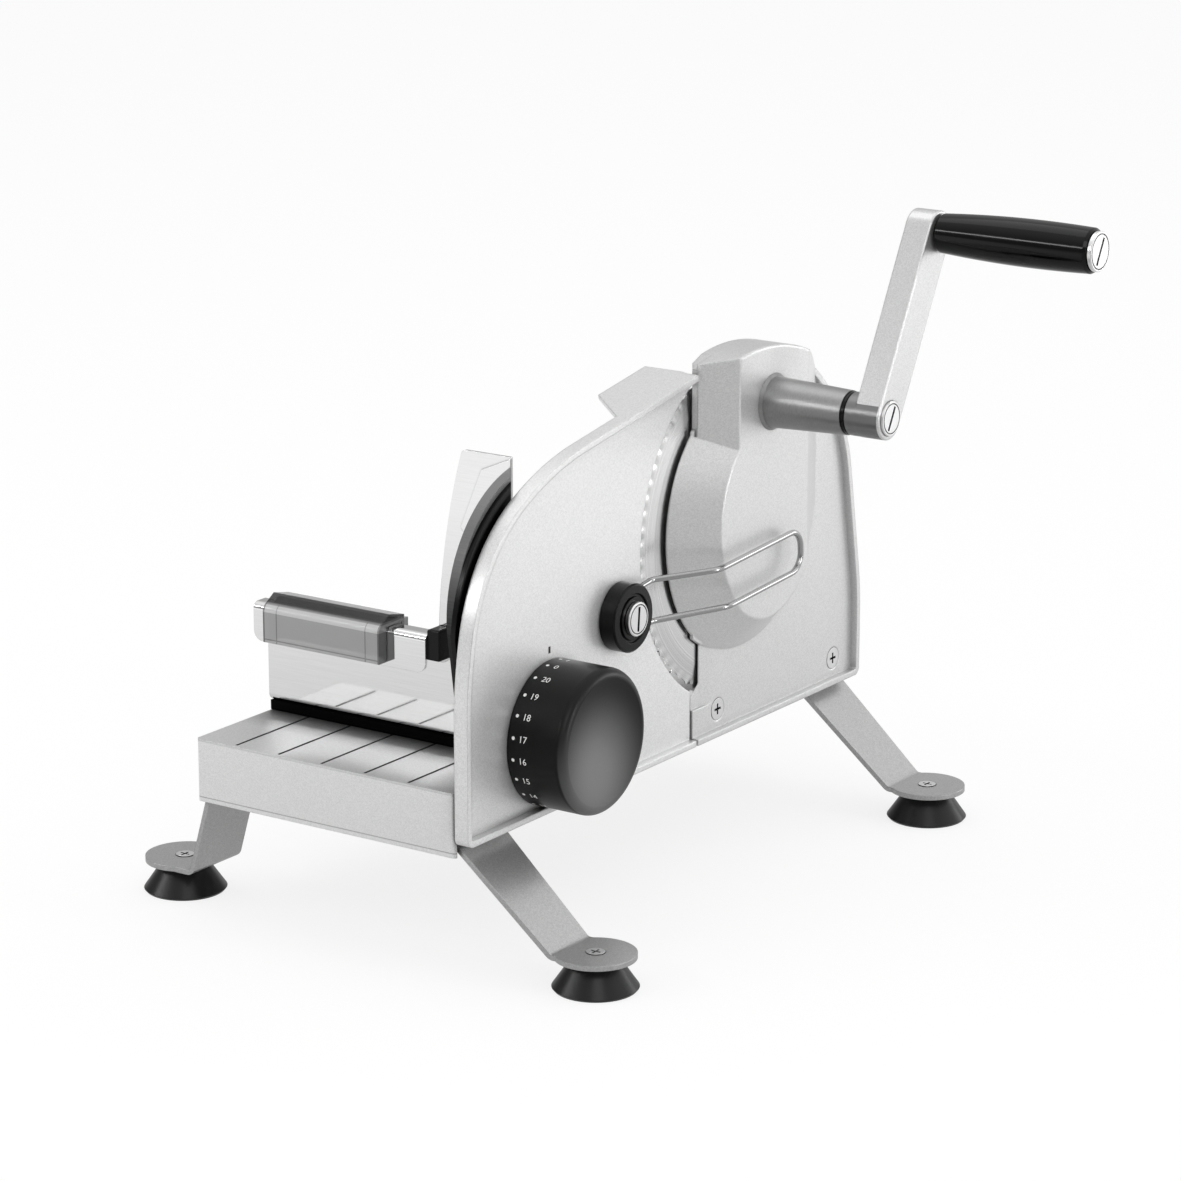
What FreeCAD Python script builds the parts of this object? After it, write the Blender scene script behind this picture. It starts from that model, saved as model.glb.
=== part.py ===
import FreeCAD, Part
import math
import os

# Hand cranked food slicer. Millimetres, Z up.
# The origin is on the standing surface, under the middle of the overall length and depth.
# X runs along the stop plate towards the gear case, Y runs from the crank side to the food side.

V = FreeCAD.Vector

# Stance
LEG_FROM_TABLE_LEFT = 21.0
LEG_FROM_TABLE_RIGHT = 19.0
FEET_SPACING_Y = 239.0
FEET_MIDDLE_Y = 45.0
FOOT_RADIUS = 20.0
FOOT_SHOULDER_RADIUS = 12.2
FOOT_NECK_RADIUS = 9.0
FOOT_CUP_DEPTH = 2.2
FOOT_RIM_HEIGHT = 1.2
FOOT_HEIGHT = 14.7

# Leg brackets, bent from steel strip
STRIP_THICKNESS = 2.5
STRIP_WIDTH = 35.0
STRIP_WIDTH_AT_TAB = 30.0
STRIP_BEND = 4.0
TAB_RADIUS = 19.0
FRONT_TAB_TO_BEND = 14.6
REAR_TAB_TO_BEND = 18.5
FRONT_LEG_RUN = 77.0
REAR_LEG_RUN = 19.6

# Plates that stand side by side, seen from the crank side
PLATE_LEFT_X = -171.0
PLATE_FRONT_Y = -21.0
PLATE_BOTTOM_Z = 61.5
PLATE_DEPTH = 7.5
RIM_WIDTH = 3.0
RIM_RECESS = 4.0
PLATE_LENGTH = 187.3
PLATE_STRAIGHT_HEIGHT = 56.5
PLATE_CORNER = 4.0
SIDE_ARC_RADIUS = 190.0
SIDE_ARC_TURN = 13.0
SHOULDER_RADIUS = 80.0
SHOULDER_TURN = 48.0
TOP_ARC_RADIUS = 150.0
TOP_SLOPE = 9.6
WING_START = 128.0
WING_CUT_RUN = 21.0
WING_REACH = 24.0
WING_THICKNESS = 2.0
WING_OVERHANG = 1.3

# Cutting drive
AXIS_FROM_SEAM = 44.7
BLADE_AXIS_Z = 164.3
BLADE_RADIUS = 85.0
BLADE_THICKNESS = 1.4
BLADE_EDGE_THICKNESS = 0.35
BEVEL_WIDTH = 11.5
WAVE_COUNT = 70
WAVE_DEPTH = 1.5
DISH_RADIUS = 30.0
DISH_DEPTH = 2.0
DISH_SLOPE_RUN = 5.0
BLADE_OPENING_GAP = 3.0
BLADE_POCKET_GAP = 1.2
GEAR_MODULE = 2.0
CRANK_TEETH = 20
BLADE_TEETH = 42
PRESSURE_ANGLE = 20.0
FLANK_STEPS = 4
GEAR_BACKLASH = 0.3
GEAR_FRONT = -3.0
GEAR_WIDTH = 7.0
GEAR_RIM = 6.0
GEAR_WEB = 3.0
GEAR_HUB_RADIUS = 12.0
WEB_HOLE_COUNT = 6
WEB_HOLE_RADIUS = 7.0
PEG_RADIUS = 2.5
PEG_OFFSET = 20.0
AXLE_RADIUS = 5.0
AXLE_SEAT = 3.5
HUB_GAP = 0.5
BUSH_WALL = 2.0
RUNNING_GAP = 0.04
BOLT_HEAD_RADIUS = 13.0
BOLT_HEAD_HEIGHT = 1.8
BOLT_SHANK_RADIUS = 8.0

# Gear case
CASE_GAP = 1.7
CASE_LENGTH = 151.0
CASE_STRAIGHT_HEIGHT = 33.5
CASE_SIDE_RADIUS = 150.0
CASE_LEAN = 9.5
CASE_LEAN_RUN = 53.0
CASE_SHOULDER_RADIUS = 87.5
CASE_SHOULDER_TURN = 31.5
CASE_TOP_RADIUS = 115.0
CASE_TOP_FALL = 10.7
CASE_WALL = 1.8
CASE_RECESS = 3.5
CASE_LIP_RADIUS = 68.0
CASE_LIP_SHIFT = 2.1
CASE_LIP_RISE = 2.7
CASE_EDGE_WALL = 2.0
CASE_EDGE_REACH = 12.0
CASE_EDGE_RISE = 48.0
CASE_NOTCH_WIDTH = 7.0
CASE_NOTCH_LOW = 84.5
CASE_NOTCH_HIGH = 116.0
CASE_STRIP_WIDTH = 10.3
CASE_STRIP_DEPTH = 1.4
BULGE_HEIGHT = 14.0
BULGE_FACE_LEFT = 30.0
BULGE_FACE_RIGHT = 32.0
BULGE_LEFT_FLARE = 15.4
BULGE_RIGHT_FLARE = 37.5
BULGE_FACE_RADIUS = 45.0
BULGE_FACE_JOIN = 43.5
BULGE_FOOT_DROP = 63.2
BULGE_LOW_LEFT = 29.0
BULGE_WALL = 3.0
BULGE_FILLET = 1.2
TUBE_RADIUS = 12.6
TUBE_END_RADIUS = 10.8
TUBE_LENGTH = 43.0
BUSH_FLANGE = 2.0
TUBE_COLLAR = 1.4
TUBE_BORE = 8.2

# Crank and handle
SHAFT_RADIUS = 6.0
CRANK_RADIUS = 93.3
CRANK_LEAN = 28.3
ARM_HALF_WIDTH = 10.6
ARM_DEPTH = 14.0
HUB_DEPTH = 19.0
ARM_EDGE = 1.0
BUTTON_RADIUS = 8.6
BUTTON_HEIGHT = 1.2
SLOT_WIDTH = 1.6
SLOT_DEPTH = 1.2
BUTTON_RING_INSET = 1.0
BUTTON_RING_WIDTH = 0.6
BUTTON_RING_DEPTH = 0.5
GRIP_LENGTH = 82.0
GRIP_START_RADIUS = 9.5
GRIP_MID_RADIUS = 11.5
GRIP_END_RADIUS = 10.9
GRIP_PIN_RADIUS = 4.0
GRIP_BUTTON_RADIUS = 9.6

# Thickness setting
KNOB_FROM_PLATE_LEFT = 69.7
KNOB_Z = 98.7
KNOB_RADIUS = 34.5
KNOB_HEIGHT = 31.0
KNOB_CLEARANCE = 0.6
KNOB_BACK_GAP = 0.3
KNOB_WALL = 3.0
KNOB_FLOOR = 2.2
KNOB_EDGE = 4.5
KNOB_DISH = 2.5
KNOB_CORE_RADIUS = 10.0
KNOB_BOLT_RADIUS = 4.0
KNOB_BOLT_HEAD = 7.5
SLICE_RANGE = 20.0
DIAL_STEPS = 21
RAIL_INNER_RADIUS = 24.0
RAIL_THICKNESS = 1.6
RAIL_START_DEPTH = 21.7
RAIL_LAP = 5.0
RAIL_GAP = 0.35
FOLLOWER_OFFSET = 23.0
FOLLOWER_RADIUS = 4.5
FOLLOWER_LIP = 1.6
ROD_RADIUS = 5.0
ROD_Z = 72.0
ROD_FROM_PLATE_LEFT = 50.0
ROD_FROM_SEAM = 22.3
ROD_LENGTH = 54.0
GUIDE_LENGTH = 34.0
GUIDE_WIDTH = 15.0

# Slice deflector
DEFLECTOR_FROM_PLATE_LEFT = 125.8
DEFLECTOR_Z = 141.1
DEFLECTOR_BASE_RADIUS = 16.5
DEFLECTOR_BASE_HEIGHT = 8.3
DEFLECTOR_RING_RADIUS = 12.0
DEFLECTOR_BUTTON_RADIUS = 8.2
DEFLECTOR_PIVOT_RADIUS = 3.0
DEFLECTOR_GAP = 0.3
WIRE_RADIUS = 1.5
WIRE_BEND = 9.0
WIRE_SPREAD = 20.4
WIRE_REACH = 121.5
WIRE_UPPER_KINK = 48.8
WIRE_LOWER_KINK = 55.8
WIRE_LEAVE = 21.0
WIRE_STAND_OFF = 21.0
WIRE_RISE = 2.0
WIRE_TILT = 3.8

# Table and carriage
TABLE_INSET = 2.0
TABLE_GAP = 1.2
TABLE_DEPTH = 150.3
TABLE_TOP_Z = 85.5
SKIRT_HEIGHT = 30.6
SHEET = 1.5
SHEET_BEND = 2.6
SKIRT_FLANGE = 9.0
GROOVE_PITCH = 25.0
GROOVE_COUNT = 5
GROOVE_WIDTH = 1.4
GROOVE_DEPTH = 0.6
WALL_FROM_PLATE_LEFT = 57.5
FLOOR_LIFT = 5.0
FLOOR_LENGTH = 122.0
WALL_TOP_Z = 141.4
LIP_REACH = 10.5
LIP_DROP = 18.6
LIP_CORNER = 5.0
LIP_START = 58.2
CARRIAGE_OVERHANG = 0.5
CARRIAGE_TRAVEL = 150.0
GUARD_GAP = 1.5
LINER_THICKNESS = 2.5
GUARD_THICKNESS = 5.1
GUARD_FOOT_Z = 106.0
GUARD_CURVE = ((7.6, 160.0), (22.5, 204.0), (57.5, 224.7))
LINER_CURVE = ((3.4, 157.0), (18.5, 196.5), (57.5, 222.5))
GUARD_FOOT_INSET = 8.5
GUARD_END_ANGLE = 34.5
FIN_TOP_Z = 229.0
FIN_TOP_WIDTH = 27.5
FIN_MIDDLE = (35.5, 195.0)
FIN_CORNER = 3.0
FACET_CORNERS = ((0.0, 228.3), (16.2, 221.2), (28.1, 192.3), (0.0, 165.0))
FACET_HEIGHT = 0.5
SLIDER_START = 22.0
SLIDER_Y = 100.0
SLIDER_LENGTH = 50.0
SLIDER_STEM = 4.0
SLIDER_FOOT = 14.0
SLIDER_GAP = 0.3
RUNNER_WIDTH = 8.0
RUNNER_INSET = 0.4
END_BLOCK_HEIGHT = 12.2
END_BLOCK_STAND = 6.6
END_BLOCK_REACH = 8.0
END_BLOCK_RISE = 2.5

# Remnant holder
SLEEVE_START = 80.5
SLEEVE_LENGTH = 68.5
SLEEVE_FRONT_ROOM = 6.0
SLEEVE_DEPTH = 16.6
SLEEVE_RIDGE = 5.8
SLEEVE_COLLAR = 2.5
SLEEVE_WALL = 1.4
SLEEVE_GAP = 0.3
HOLDER_THICKNESS = 4.0
HOLDER_WIDTH = 92.0
HOLDER_HEIGHT = 34.0
SPIKE_HEIGHT = 5.0
SPIKE_BASE = 3.0
SPIKE_TIP = 0.6
SPIKE_COLUMNS = 5
SPIKE_ROWS = 3

# Fasteners
CASE_SCREW_HEAD = 5.5
CASE_SCREW_RADIUS = 2.5
CASE_SCREW_SINK = 3.0
CASE_SCREW_POSITIONS = (22.5, 130.5)
CASE_SCREW_Z = 74.0
FOOT_SCREW_HEAD = 4.4
FOOT_SCREW_SINK = 1.6
FOOT_SCREW_STAND = 0.3
SINK_RING = 0.5
FOOT_SCREW_RADIUS = 2.5
NUT_HALF_WIDTH = 4.0
NUT_HEIGHT = 3.2

# How far a cut runs on past the piece it is made in
BEYOND = 80.0

# Places that follow from the sizes above
PLATE_BACK_Y = PLATE_FRONT_Y + PLATE_DEPTH
PLATE_FACE_Y = PLATE_FRONT_Y + RIM_RECESS
PLATE_RIGHT_X = PLATE_LEFT_X + PLATE_LENGTH
AXIS_X = PLATE_RIGHT_X + AXIS_FROM_SEAM
ROD_PLACES = (PLATE_LEFT_X + ROD_FROM_PLATE_LEFT, PLATE_RIGHT_X - ROD_FROM_SEAM)
GEAR_DISTANCE = GEAR_MODULE * (CRANK_TEETH + BLADE_TEETH) / 2.0
CRANK_AXIS_Z = BLADE_AXIS_Z + GEAR_DISTANCE
LIP_X = AXIS_X + CASE_LIP_SHIFT
LIP_Z = BLADE_AXIS_Z + CASE_LIP_RISE
BLADE_BACK_Y = PLATE_BACK_Y
BLADE_FRONT_Y = BLADE_BACK_Y - BLADE_THICKNESS
GEAR_FRONT_Y = PLATE_FRONT_Y + GEAR_FRONT
GEAR_BACK_Y = GEAR_FRONT_Y + GEAR_WIDTH
CASE_LEFT_X = PLATE_RIGHT_X + CASE_GAP
CASE_RIGHT_X = CASE_LEFT_X + CASE_LENGTH
CASE_FACE_Y = PLATE_FRONT_Y + CASE_RECESS
BULGE_FRONT_Y = PLATE_FRONT_Y - BULGE_HEIGHT
TUBE_END_Y = BULGE_FRONT_Y - TUBE_LENGTH
AXLE_SEAT_Y = BULGE_FRONT_Y + 2.0
TABLE_NEAR_Y = PLATE_BACK_Y + TABLE_GAP
TABLE_FAR_Y = TABLE_NEAR_Y + TABLE_DEPTH
TABLE_LEFT_X = PLATE_LEFT_X + TABLE_INSET
TABLE_RIGHT_X = CASE_RIGHT_X - TABLE_INSET
LEG_LEFT_X = TABLE_LEFT_X + LEG_FROM_TABLE_LEFT
LEG_RIGHT_X = TABLE_RIGHT_X - LEG_FROM_TABLE_RIGHT
KNOB_X = PLATE_LEFT_X + KNOB_FROM_PLATE_LEFT
DEFLECTOR_X = PLATE_LEFT_X + DEFLECTOR_FROM_PLATE_LEFT
WALL_X = PLATE_LEFT_X + WALL_FROM_PLATE_LEFT
FLOOR_Z = TABLE_TOP_Z + FLOOR_LIFT
TAB_TOP_Z = FOOT_HEIGHT + STRIP_THICKNESS
ARM_FRONT_Y = TUBE_END_Y - BUSH_FLANGE - 0.5 - HUB_DEPTH


def box(x0, x1, y0, y1, z0, z1):
    """A block given by its six faces."""
    return Part.makeBox(x1 - x0, y1 - y0, z1 - z0, V(x0, y0, z0))


def rod(x, z, radius, y0, y1):
    """A round bar along Y."""
    return Part.makeCylinder(radius, y1 - y0, V(x, y0, z), V(0, 1, 0))


def post(x, y, radius, z0, z1):
    """A round bar along Z."""
    return Part.makeCylinder(radius, z1 - z0, V(x, y, z0), V(0, 0, 1))


def ring(x, z, outer, inner, y0, y1):
    """A tube along Y."""
    return rod(x, z, outer, y0, y1).cut(rod(x, z, inner, y0 - 1, y1 + 1))


def cone(x, z, r0, r1, y0, y1):
    """A tapered bar along Y."""
    return Part.makeCone(r0, r1, y1 - y0, V(x, y0, z), V(0, 1, 0))


def turned(profile, x, z):
    """A solid turned about a Y axis, from (radius, y) corners."""
    points = [V(x + r, y, z) for r, y in profile]
    face = Part.Face(Part.makePolygon(points + [points[0]]))
    return face.revolve(V(x, 0, z), V(0, 1, 0), 360)


def fuse(shapes):
    """One solid from several that touch."""
    first = shapes[0]
    return first.fuse(shapes[1:]).removeSplitter()


def slab(wire, y0, y1):
    """An outline in the XZ plane made y1 - y0 thick."""
    face = Part.Face(wire)
    face.translate(V(0, y0, 0))
    return face.extrude(V(0, y1 - y0, 0))


def save(name, shape):
    """Write one piece."""
    solids = shape.Solids
    result = solids[0] if len(solids) == 1 else Part.makeCompound(solids)
    result.exportStep("parts/" + name + ".step")


class Outline:
    """A closed outline in the XZ plane, drawn with a heading in degrees from +X towards +Z."""

    def __init__(self, x, z, heading):
        self.start = (x, z)
        self.at = (x, z)
        self.heading = heading
        self.edges = []

    def to(self, x, z):
        self.edges.append(Part.makeLine(V(self.at[0], 0, self.at[1]), V(x, 0, z)))
        self.heading = math.degrees(math.atan2(z - self.at[1], x - self.at[0]))
        self.at = (x, z)
        return self

    def forward(self, length):
        a = math.radians(self.heading)
        return self.to(self.at[0] + length * math.cos(a), self.at[1] + length * math.sin(a))

    def turn(self, radius, degrees):
        side = math.copysign(1.0, degrees)
        a = math.radians(self.heading)
        centre = (self.at[0] - side * radius * math.sin(a), self.at[1] + side * radius * math.cos(a))
        points = []
        for share in (0.5, 1.0):
            b = a + math.radians(degrees * share)
            points.append((centre[0] + side * radius * math.sin(b), centre[1] - side * radius * math.cos(b)))
        self.arc(points[0], points[1])
        self.heading = math.degrees(a) + degrees
        return self

    def arc(self, middle, end):
        start = V(self.at[0], 0, self.at[1])
        curve = Part.Arc(start, V(middle[0], 0, middle[1]), V(end[0], 0, end[1]))
        self.edges.append(curve.toShape())
        self.at = end
        return self

    def close(self):
        gap = math.hypot(self.at[0] - self.start[0], self.at[1] - self.start[1])
        if gap > 1e-4:
            self.to(*self.start)
        return Part.Wire(self.edges)


def bent_strip(corners, thickness, bend, place):
    """The side profile of a bent strip, whose middle line runs through the corners."""
    count = len(corners)
    headings = []
    for i in range(count - 1):
        du = corners[i + 1][0] - corners[i][0]
        dv = corners[i + 1][1] - corners[i][1]
        headings.append(math.atan2(dv, du))
    sides = []
    for side in (1.0, -1.0):
        shift = side * thickness / 2
        nodes = []
        h = headings[0]
        nodes.append(("point", (corners[0][0] - shift * math.sin(h), corners[0][1] + shift * math.cos(h))))
        for i in range(1, count - 1):
            h0 = headings[i - 1]
            turn = math.remainder(headings[i] - h0, 2 * math.pi)
            hand = math.copysign(1.0, turn)
            tangent = bend * math.tan(abs(turn) / 2)
            u = corners[i][0] - tangent * math.cos(h0)
            v = corners[i][1] - tangent * math.sin(h0)
            cu = u - hand * bend * math.sin(h0)
            cv = v + hand * bend * math.cos(h0)
            radius = bend - hand * shift
            arc = []
            for share in (0.0, 0.5, 1.0):
                a = h0 + turn * share
                arc.append((cu + hand * radius * math.sin(a), cv - hand * radius * math.cos(a)))
            nodes.append(("arc", arc))
        h = headings[-1]
        end = corners[-1]
        nodes.append(("point", (end[0] - shift * math.sin(h), end[1] + shift * math.cos(h))))
        sides.append(nodes)
    edges = []
    for nodes in sides:
        last = nodes[0][1]
        for kind, data in nodes[1:]:
            target = data[0] if kind == "arc" else data
            edges.append(Part.makeLine(place(*last), place(*target)))
            last = target
            if kind == "arc":
                edges.append(Part.Arc(place(*data[0]), place(*data[1]), place(*data[2])).toShape())
                last = data[2]
        nodes.append(("end", last))
    edges.append(Part.makeLine(place(*sides[0][0][1]), place(*sides[1][0][1])))
    edges.append(Part.makeLine(place(*sides[0][-1][1]), place(*sides[1][-1][1])))
    return Part.Face(Part.Wire(Part.__sortEdges__(edges)))


def chord_rise(radius, run):
    """How far a circle rises above its centre at a given run from it."""
    return math.sqrt(radius ** 2 - run ** 2)


def gear(teeth, width, backlash):
    """A spur gear about the Y axis at the origin, one tooth pointing along +Z, from y = 0."""
    pitch = GEAR_MODULE * teeth / 2
    pressure = math.radians(PRESSURE_ANGLE)
    base = pitch * math.cos(pressure)
    tip = pitch + GEAR_MODULE
    root = pitch - 1.25 * GEAR_MODULE
    half_at_pitch = (math.pi * GEAR_MODULE / 2 - backlash) / (2 * pitch)
    stations = []
    for i in range(FLANK_STEPS + 1):
        r = root + (tip - root) * i / FLANK_STEPS
        angle = math.acos(min(1.0, base / r))
        opening = math.tan(pressure) - pressure - (math.tan(angle) - angle)
        stations.append((r, half_at_pitch + opening))
    points = []
    for i in range(teeth):
        mid = 2 * math.pi * i / teeth
        for r, half in stations:
            points.append((r, mid - half))
        for r, half in reversed(stations):
            points.append((r, mid + half))
    corners = [V(r * math.sin(a), 0, r * math.cos(a)) for r, a in points]
    face = Part.Face(Part.makePolygon(corners + [corners[0]]))
    return face.extrude(V(0, width, 0))


def top_z(x):
    """Height of the stop plate's sloping top edge."""
    return TOP_LINE_Z + (x - TOP_LINE_X) * math.tan(math.radians(TOP_SLOPE))


def stop_outline(inset, right):
    """The stop plate's outline, drawn inset from its left, top and bottom edges."""
    left = PLATE_LEFT_X + inset
    bottom = PLATE_BOTTOM_Z + inset
    corner = max(PLATE_CORNER - inset, 0.5)
    line = Outline(left, bottom + corner, 90)
    line.to(left, PLATE_BOTTOM_Z + PLATE_STRAIGHT_HEIGHT)
    line.turn(SIDE_ARC_RADIUS - inset, -SIDE_ARC_TURN)
    line.turn(SHOULDER_RADIUS - inset, -SHOULDER_TURN)
    line.turn(TOP_ARC_RADIUS - inset, -(90 - TOP_SLOPE - SIDE_ARC_TURN - SHOULDER_TURN))
    run = (right - line.at[0]) / math.cos(math.radians(TOP_SLOPE))
    start = line.at
    line.forward(run)
    line.to(right, bottom)
    line.to(left + corner, bottom)
    line.heading = 180
    line.turn(corner, -90)
    return line.close(), start


TOP_LINE_X, TOP_LINE_Z = stop_outline(0.0, PLATE_RIGHT_X)[1]


def case_outline(inset, left):
    """The gear case's outline, drawn inset from its right, top and bottom edges."""
    right = CASE_RIGHT_X - inset
    bottom = PLATE_BOTTOM_Z + inset
    corner = max(PLATE_CORNER - inset, 0.5)
    line = Outline(left, bottom, 0)
    line.to(right - corner, bottom)
    line.turn(corner, 90)
    line.to(right, PLATE_BOTTOM_Z + CASE_STRAIGHT_HEIGHT)
    line.turn(CASE_SIDE_RADIUS - inset, CASE_LEAN)
    line.forward(CASE_LEAN_RUN)
    line.turn(CASE_SHOULDER_RADIUS - inset, CASE_SHOULDER_TURN)
    line.turn(CASE_TOP_RADIUS - inset, 90 + CASE_TOP_FALL - CASE_LEAN - CASE_SHOULDER_TURN)
    run = (line.at[0] - left) / math.cos(math.radians(CASE_TOP_FALL))
    line.forward(run)
    return line.close()


def bulge(inset):
    """The raised part of the gear case, or the hollow in it: from a foot outline to a smaller front one."""
    top = CRANK_AXIS_Z + 60
    lip = CASE_LIP_RADIUS - inset
    left = AXIS_X - BULGE_FACE_LEFT - BULGE_LEFT_FLARE + inset
    right = AXIS_X + BULGE_FACE_RIGHT + BULGE_RIGHT_FLARE - inset
    low_x = AXIS_X - BULGE_LOW_LEFT
    low_z = LIP_Z - chord_rise(lip, LIP_X - low_x)
    foot = Outline(left, top, -90)
    foot.to(left, LIP_Z + chord_rise(lip, LIP_X - left))
    foot.arc((LIP_X - lip, LIP_Z), (low_x, low_z))
    foot.arc((AXIS_X + 6, BLADE_AXIS_Z - BULGE_FOOT_DROP + inset), (right, BLADE_AXIS_Z))
    foot.to(right, top)
    face = BULGE_FACE_RADIUS - inset
    face_left = AXIS_X - BULGE_FACE_LEFT + inset
    face_right = AXIS_X + BULGE_FACE_RIGHT - inset
    low_x = AXIS_X - 0.6 * face
    front = Outline(face_left, top, -90)
    front.to(face_left, BLADE_AXIS_Z + BULGE_FACE_JOIN)
    front.arc((AXIS_X - face, BLADE_AXIS_Z + 4), (low_x, BLADE_AXIS_Z - chord_rise(face, 0.6 * face)))
    front.arc((AXIS_X + 2, BLADE_AXIS_Z - face), (face_right, BLADE_AXIS_Z - 0.55 * face))
    front.to(face_right, top)
    foot_y = CASE_FACE_Y + CASE_WALL / 2 + (2 * inset)
    wires = []
    for line, y in ((foot, foot_y), (front, BULGE_FRONT_Y + inset)):
        wire = line.close()
        wire.translate(V(0, y, 0))
        wires.append(wire)
    return Part.makeLoft(wires, True, True)


def make_suction_foot(x, y):
    """A conical suction foot with a hollow sole."""
    neck = FOOT_NECK_RADIUS
    profile = [
        (0.0, FOOT_CUP_DEPTH),
        (FOOT_RADIUS - 4.5, 0.8),
        (FOOT_RADIUS - 3.0, 0.0),
        (FOOT_RADIUS - 1.0, 0.0),
        (FOOT_RADIUS, FOOT_RIM_HEIGHT),
        (FOOT_SHOULDER_RADIUS, FOOT_HEIGHT - 2.2),
        (neck, FOOT_HEIGHT - 1.9),
        (neck, FOOT_HEIGHT),
        (0.0, FOOT_HEIGHT),
    ]
    points = [V(x + r, y, z) for r, z in profile]
    face = Part.Face(Part.makePolygon(points + [points[0]]))
    foot = face.revolve(V(x, y, 0), V(0, 0, 1), 360)
    return foot.cut(post(x, y, FOOT_SCREW_RADIUS, FOOT_HEIGHT - 9.0, FOOT_HEIGHT + 1))


def make_feet():
    """Four suction feet and the screws that hold them to the tabs."""
    screws = []
    for row, sy in (("front", -1), ("rear", 1)):
        for side, x in (("left", LEG_LEFT_X), ("right", LEG_RIGHT_X)):
            y = FEET_MIDDLE_Y + sy * FEET_SPACING_Y / 2
            save("suction_foot_" + row + "_" + side, make_suction_foot(x, y))
            sink_z = TAB_TOP_Z - FOOT_SCREW_SINK
            shank = post(x, y, FOOT_SCREW_RADIUS, FOOT_HEIGHT - 8.5, sink_z)
            head = Part.makeCone(FOOT_SCREW_RADIUS, FOOT_SCREW_HEAD, FOOT_SCREW_SINK + FOOT_SCREW_STAND,
                                 V(x, y, sink_z), V(0, 0, 1))
            slot = 0.5
            for cross in (box(x - 2.6, x + 2.6, y - slot, y + slot, TAB_TOP_Z - 0.7, TAB_TOP_Z + 3),
                          box(x - slot, x + slot, y - 2.6, y + 2.6, TAB_TOP_Z - 0.7, TAB_TOP_Z + 3)):
                head = head.cut(cross)
            screws.append(fuse([shank, head]))
    save("foot_screws", Part.makeCompound(screws))


def make_leg_bracket(x):
    """One bent strip: front tab, sloping leg, bridge under the table, steep leg, rear tab."""
    half = STRIP_THICKNESS / 2
    bridge_z = TABLE_TOP_Z - SHEET - half
    tab_z = TAB_TOP_Z - half
    front_y = FEET_MIDDLE_Y - FEET_SPACING_Y / 2
    rear_y = FEET_MIDDLE_Y + FEET_SPACING_Y / 2
    front_bend = front_y + FRONT_TAB_TO_BEND
    rear_bend = rear_y - REAR_TAB_TO_BEND
    corners = [
        (front_y - TAB_RADIUS - 1, tab_z),
        (front_bend, tab_z),
        (front_bend + FRONT_LEG_RUN, bridge_z),
        (rear_bend - REAR_LEG_RUN, bridge_z),
        (rear_bend, tab_z),
        (rear_y + TAB_RADIUS + 1, tab_z),
    ]
    profile = bent_strip(corners, STRIP_THICKNESS, STRIP_BEND, lambda u, v: V(0, u, v))
    strip = profile.extrude(V(2 * TAB_RADIUS + 2, 0, 0))
    strip.translate(V(x - TAB_RADIUS - 1, 0, 0))
    wide = STRIP_WIDTH / 2
    slim = STRIP_WIDTH_AT_TAB / 2
    taper_end = PLATE_FRONT_Y + 10.0
    plan = [
        (x - slim, front_y), (x - slim, front_bend), (x - wide, taper_end), (x - wide, rear_y),
        (x + wide, rear_y), (x + wide, taper_end), (x + slim, front_bend), (x + slim, front_y),
    ]
    points = [V(px, py, 0) for px, py in plan]
    width = Part.Face(Part.makePolygon(points + [points[0]])).extrude(V(0, 0, TABLE_TOP_Z))
    for y in (front_y, rear_y):
        width = width.fuse(post(x, y, TAB_RADIUS, 0, TAB_TOP_Z + 1))
    bracket = strip.common(width)
    for y in (front_y, rear_y):
        sink = Part.makeCone(FOOT_SCREW_RADIUS, FOOT_SCREW_HEAD + SINK_RING, FOOT_SCREW_SINK,
                             V(x, y, TAB_TOP_Z - FOOT_SCREW_SINK), V(0, 0, 1))
        bracket = bracket.cut([post(x, y, FOOT_SCREW_RADIUS, 0, TAB_TOP_Z + 1), sink])
    return bracket.removeSplitter()


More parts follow.
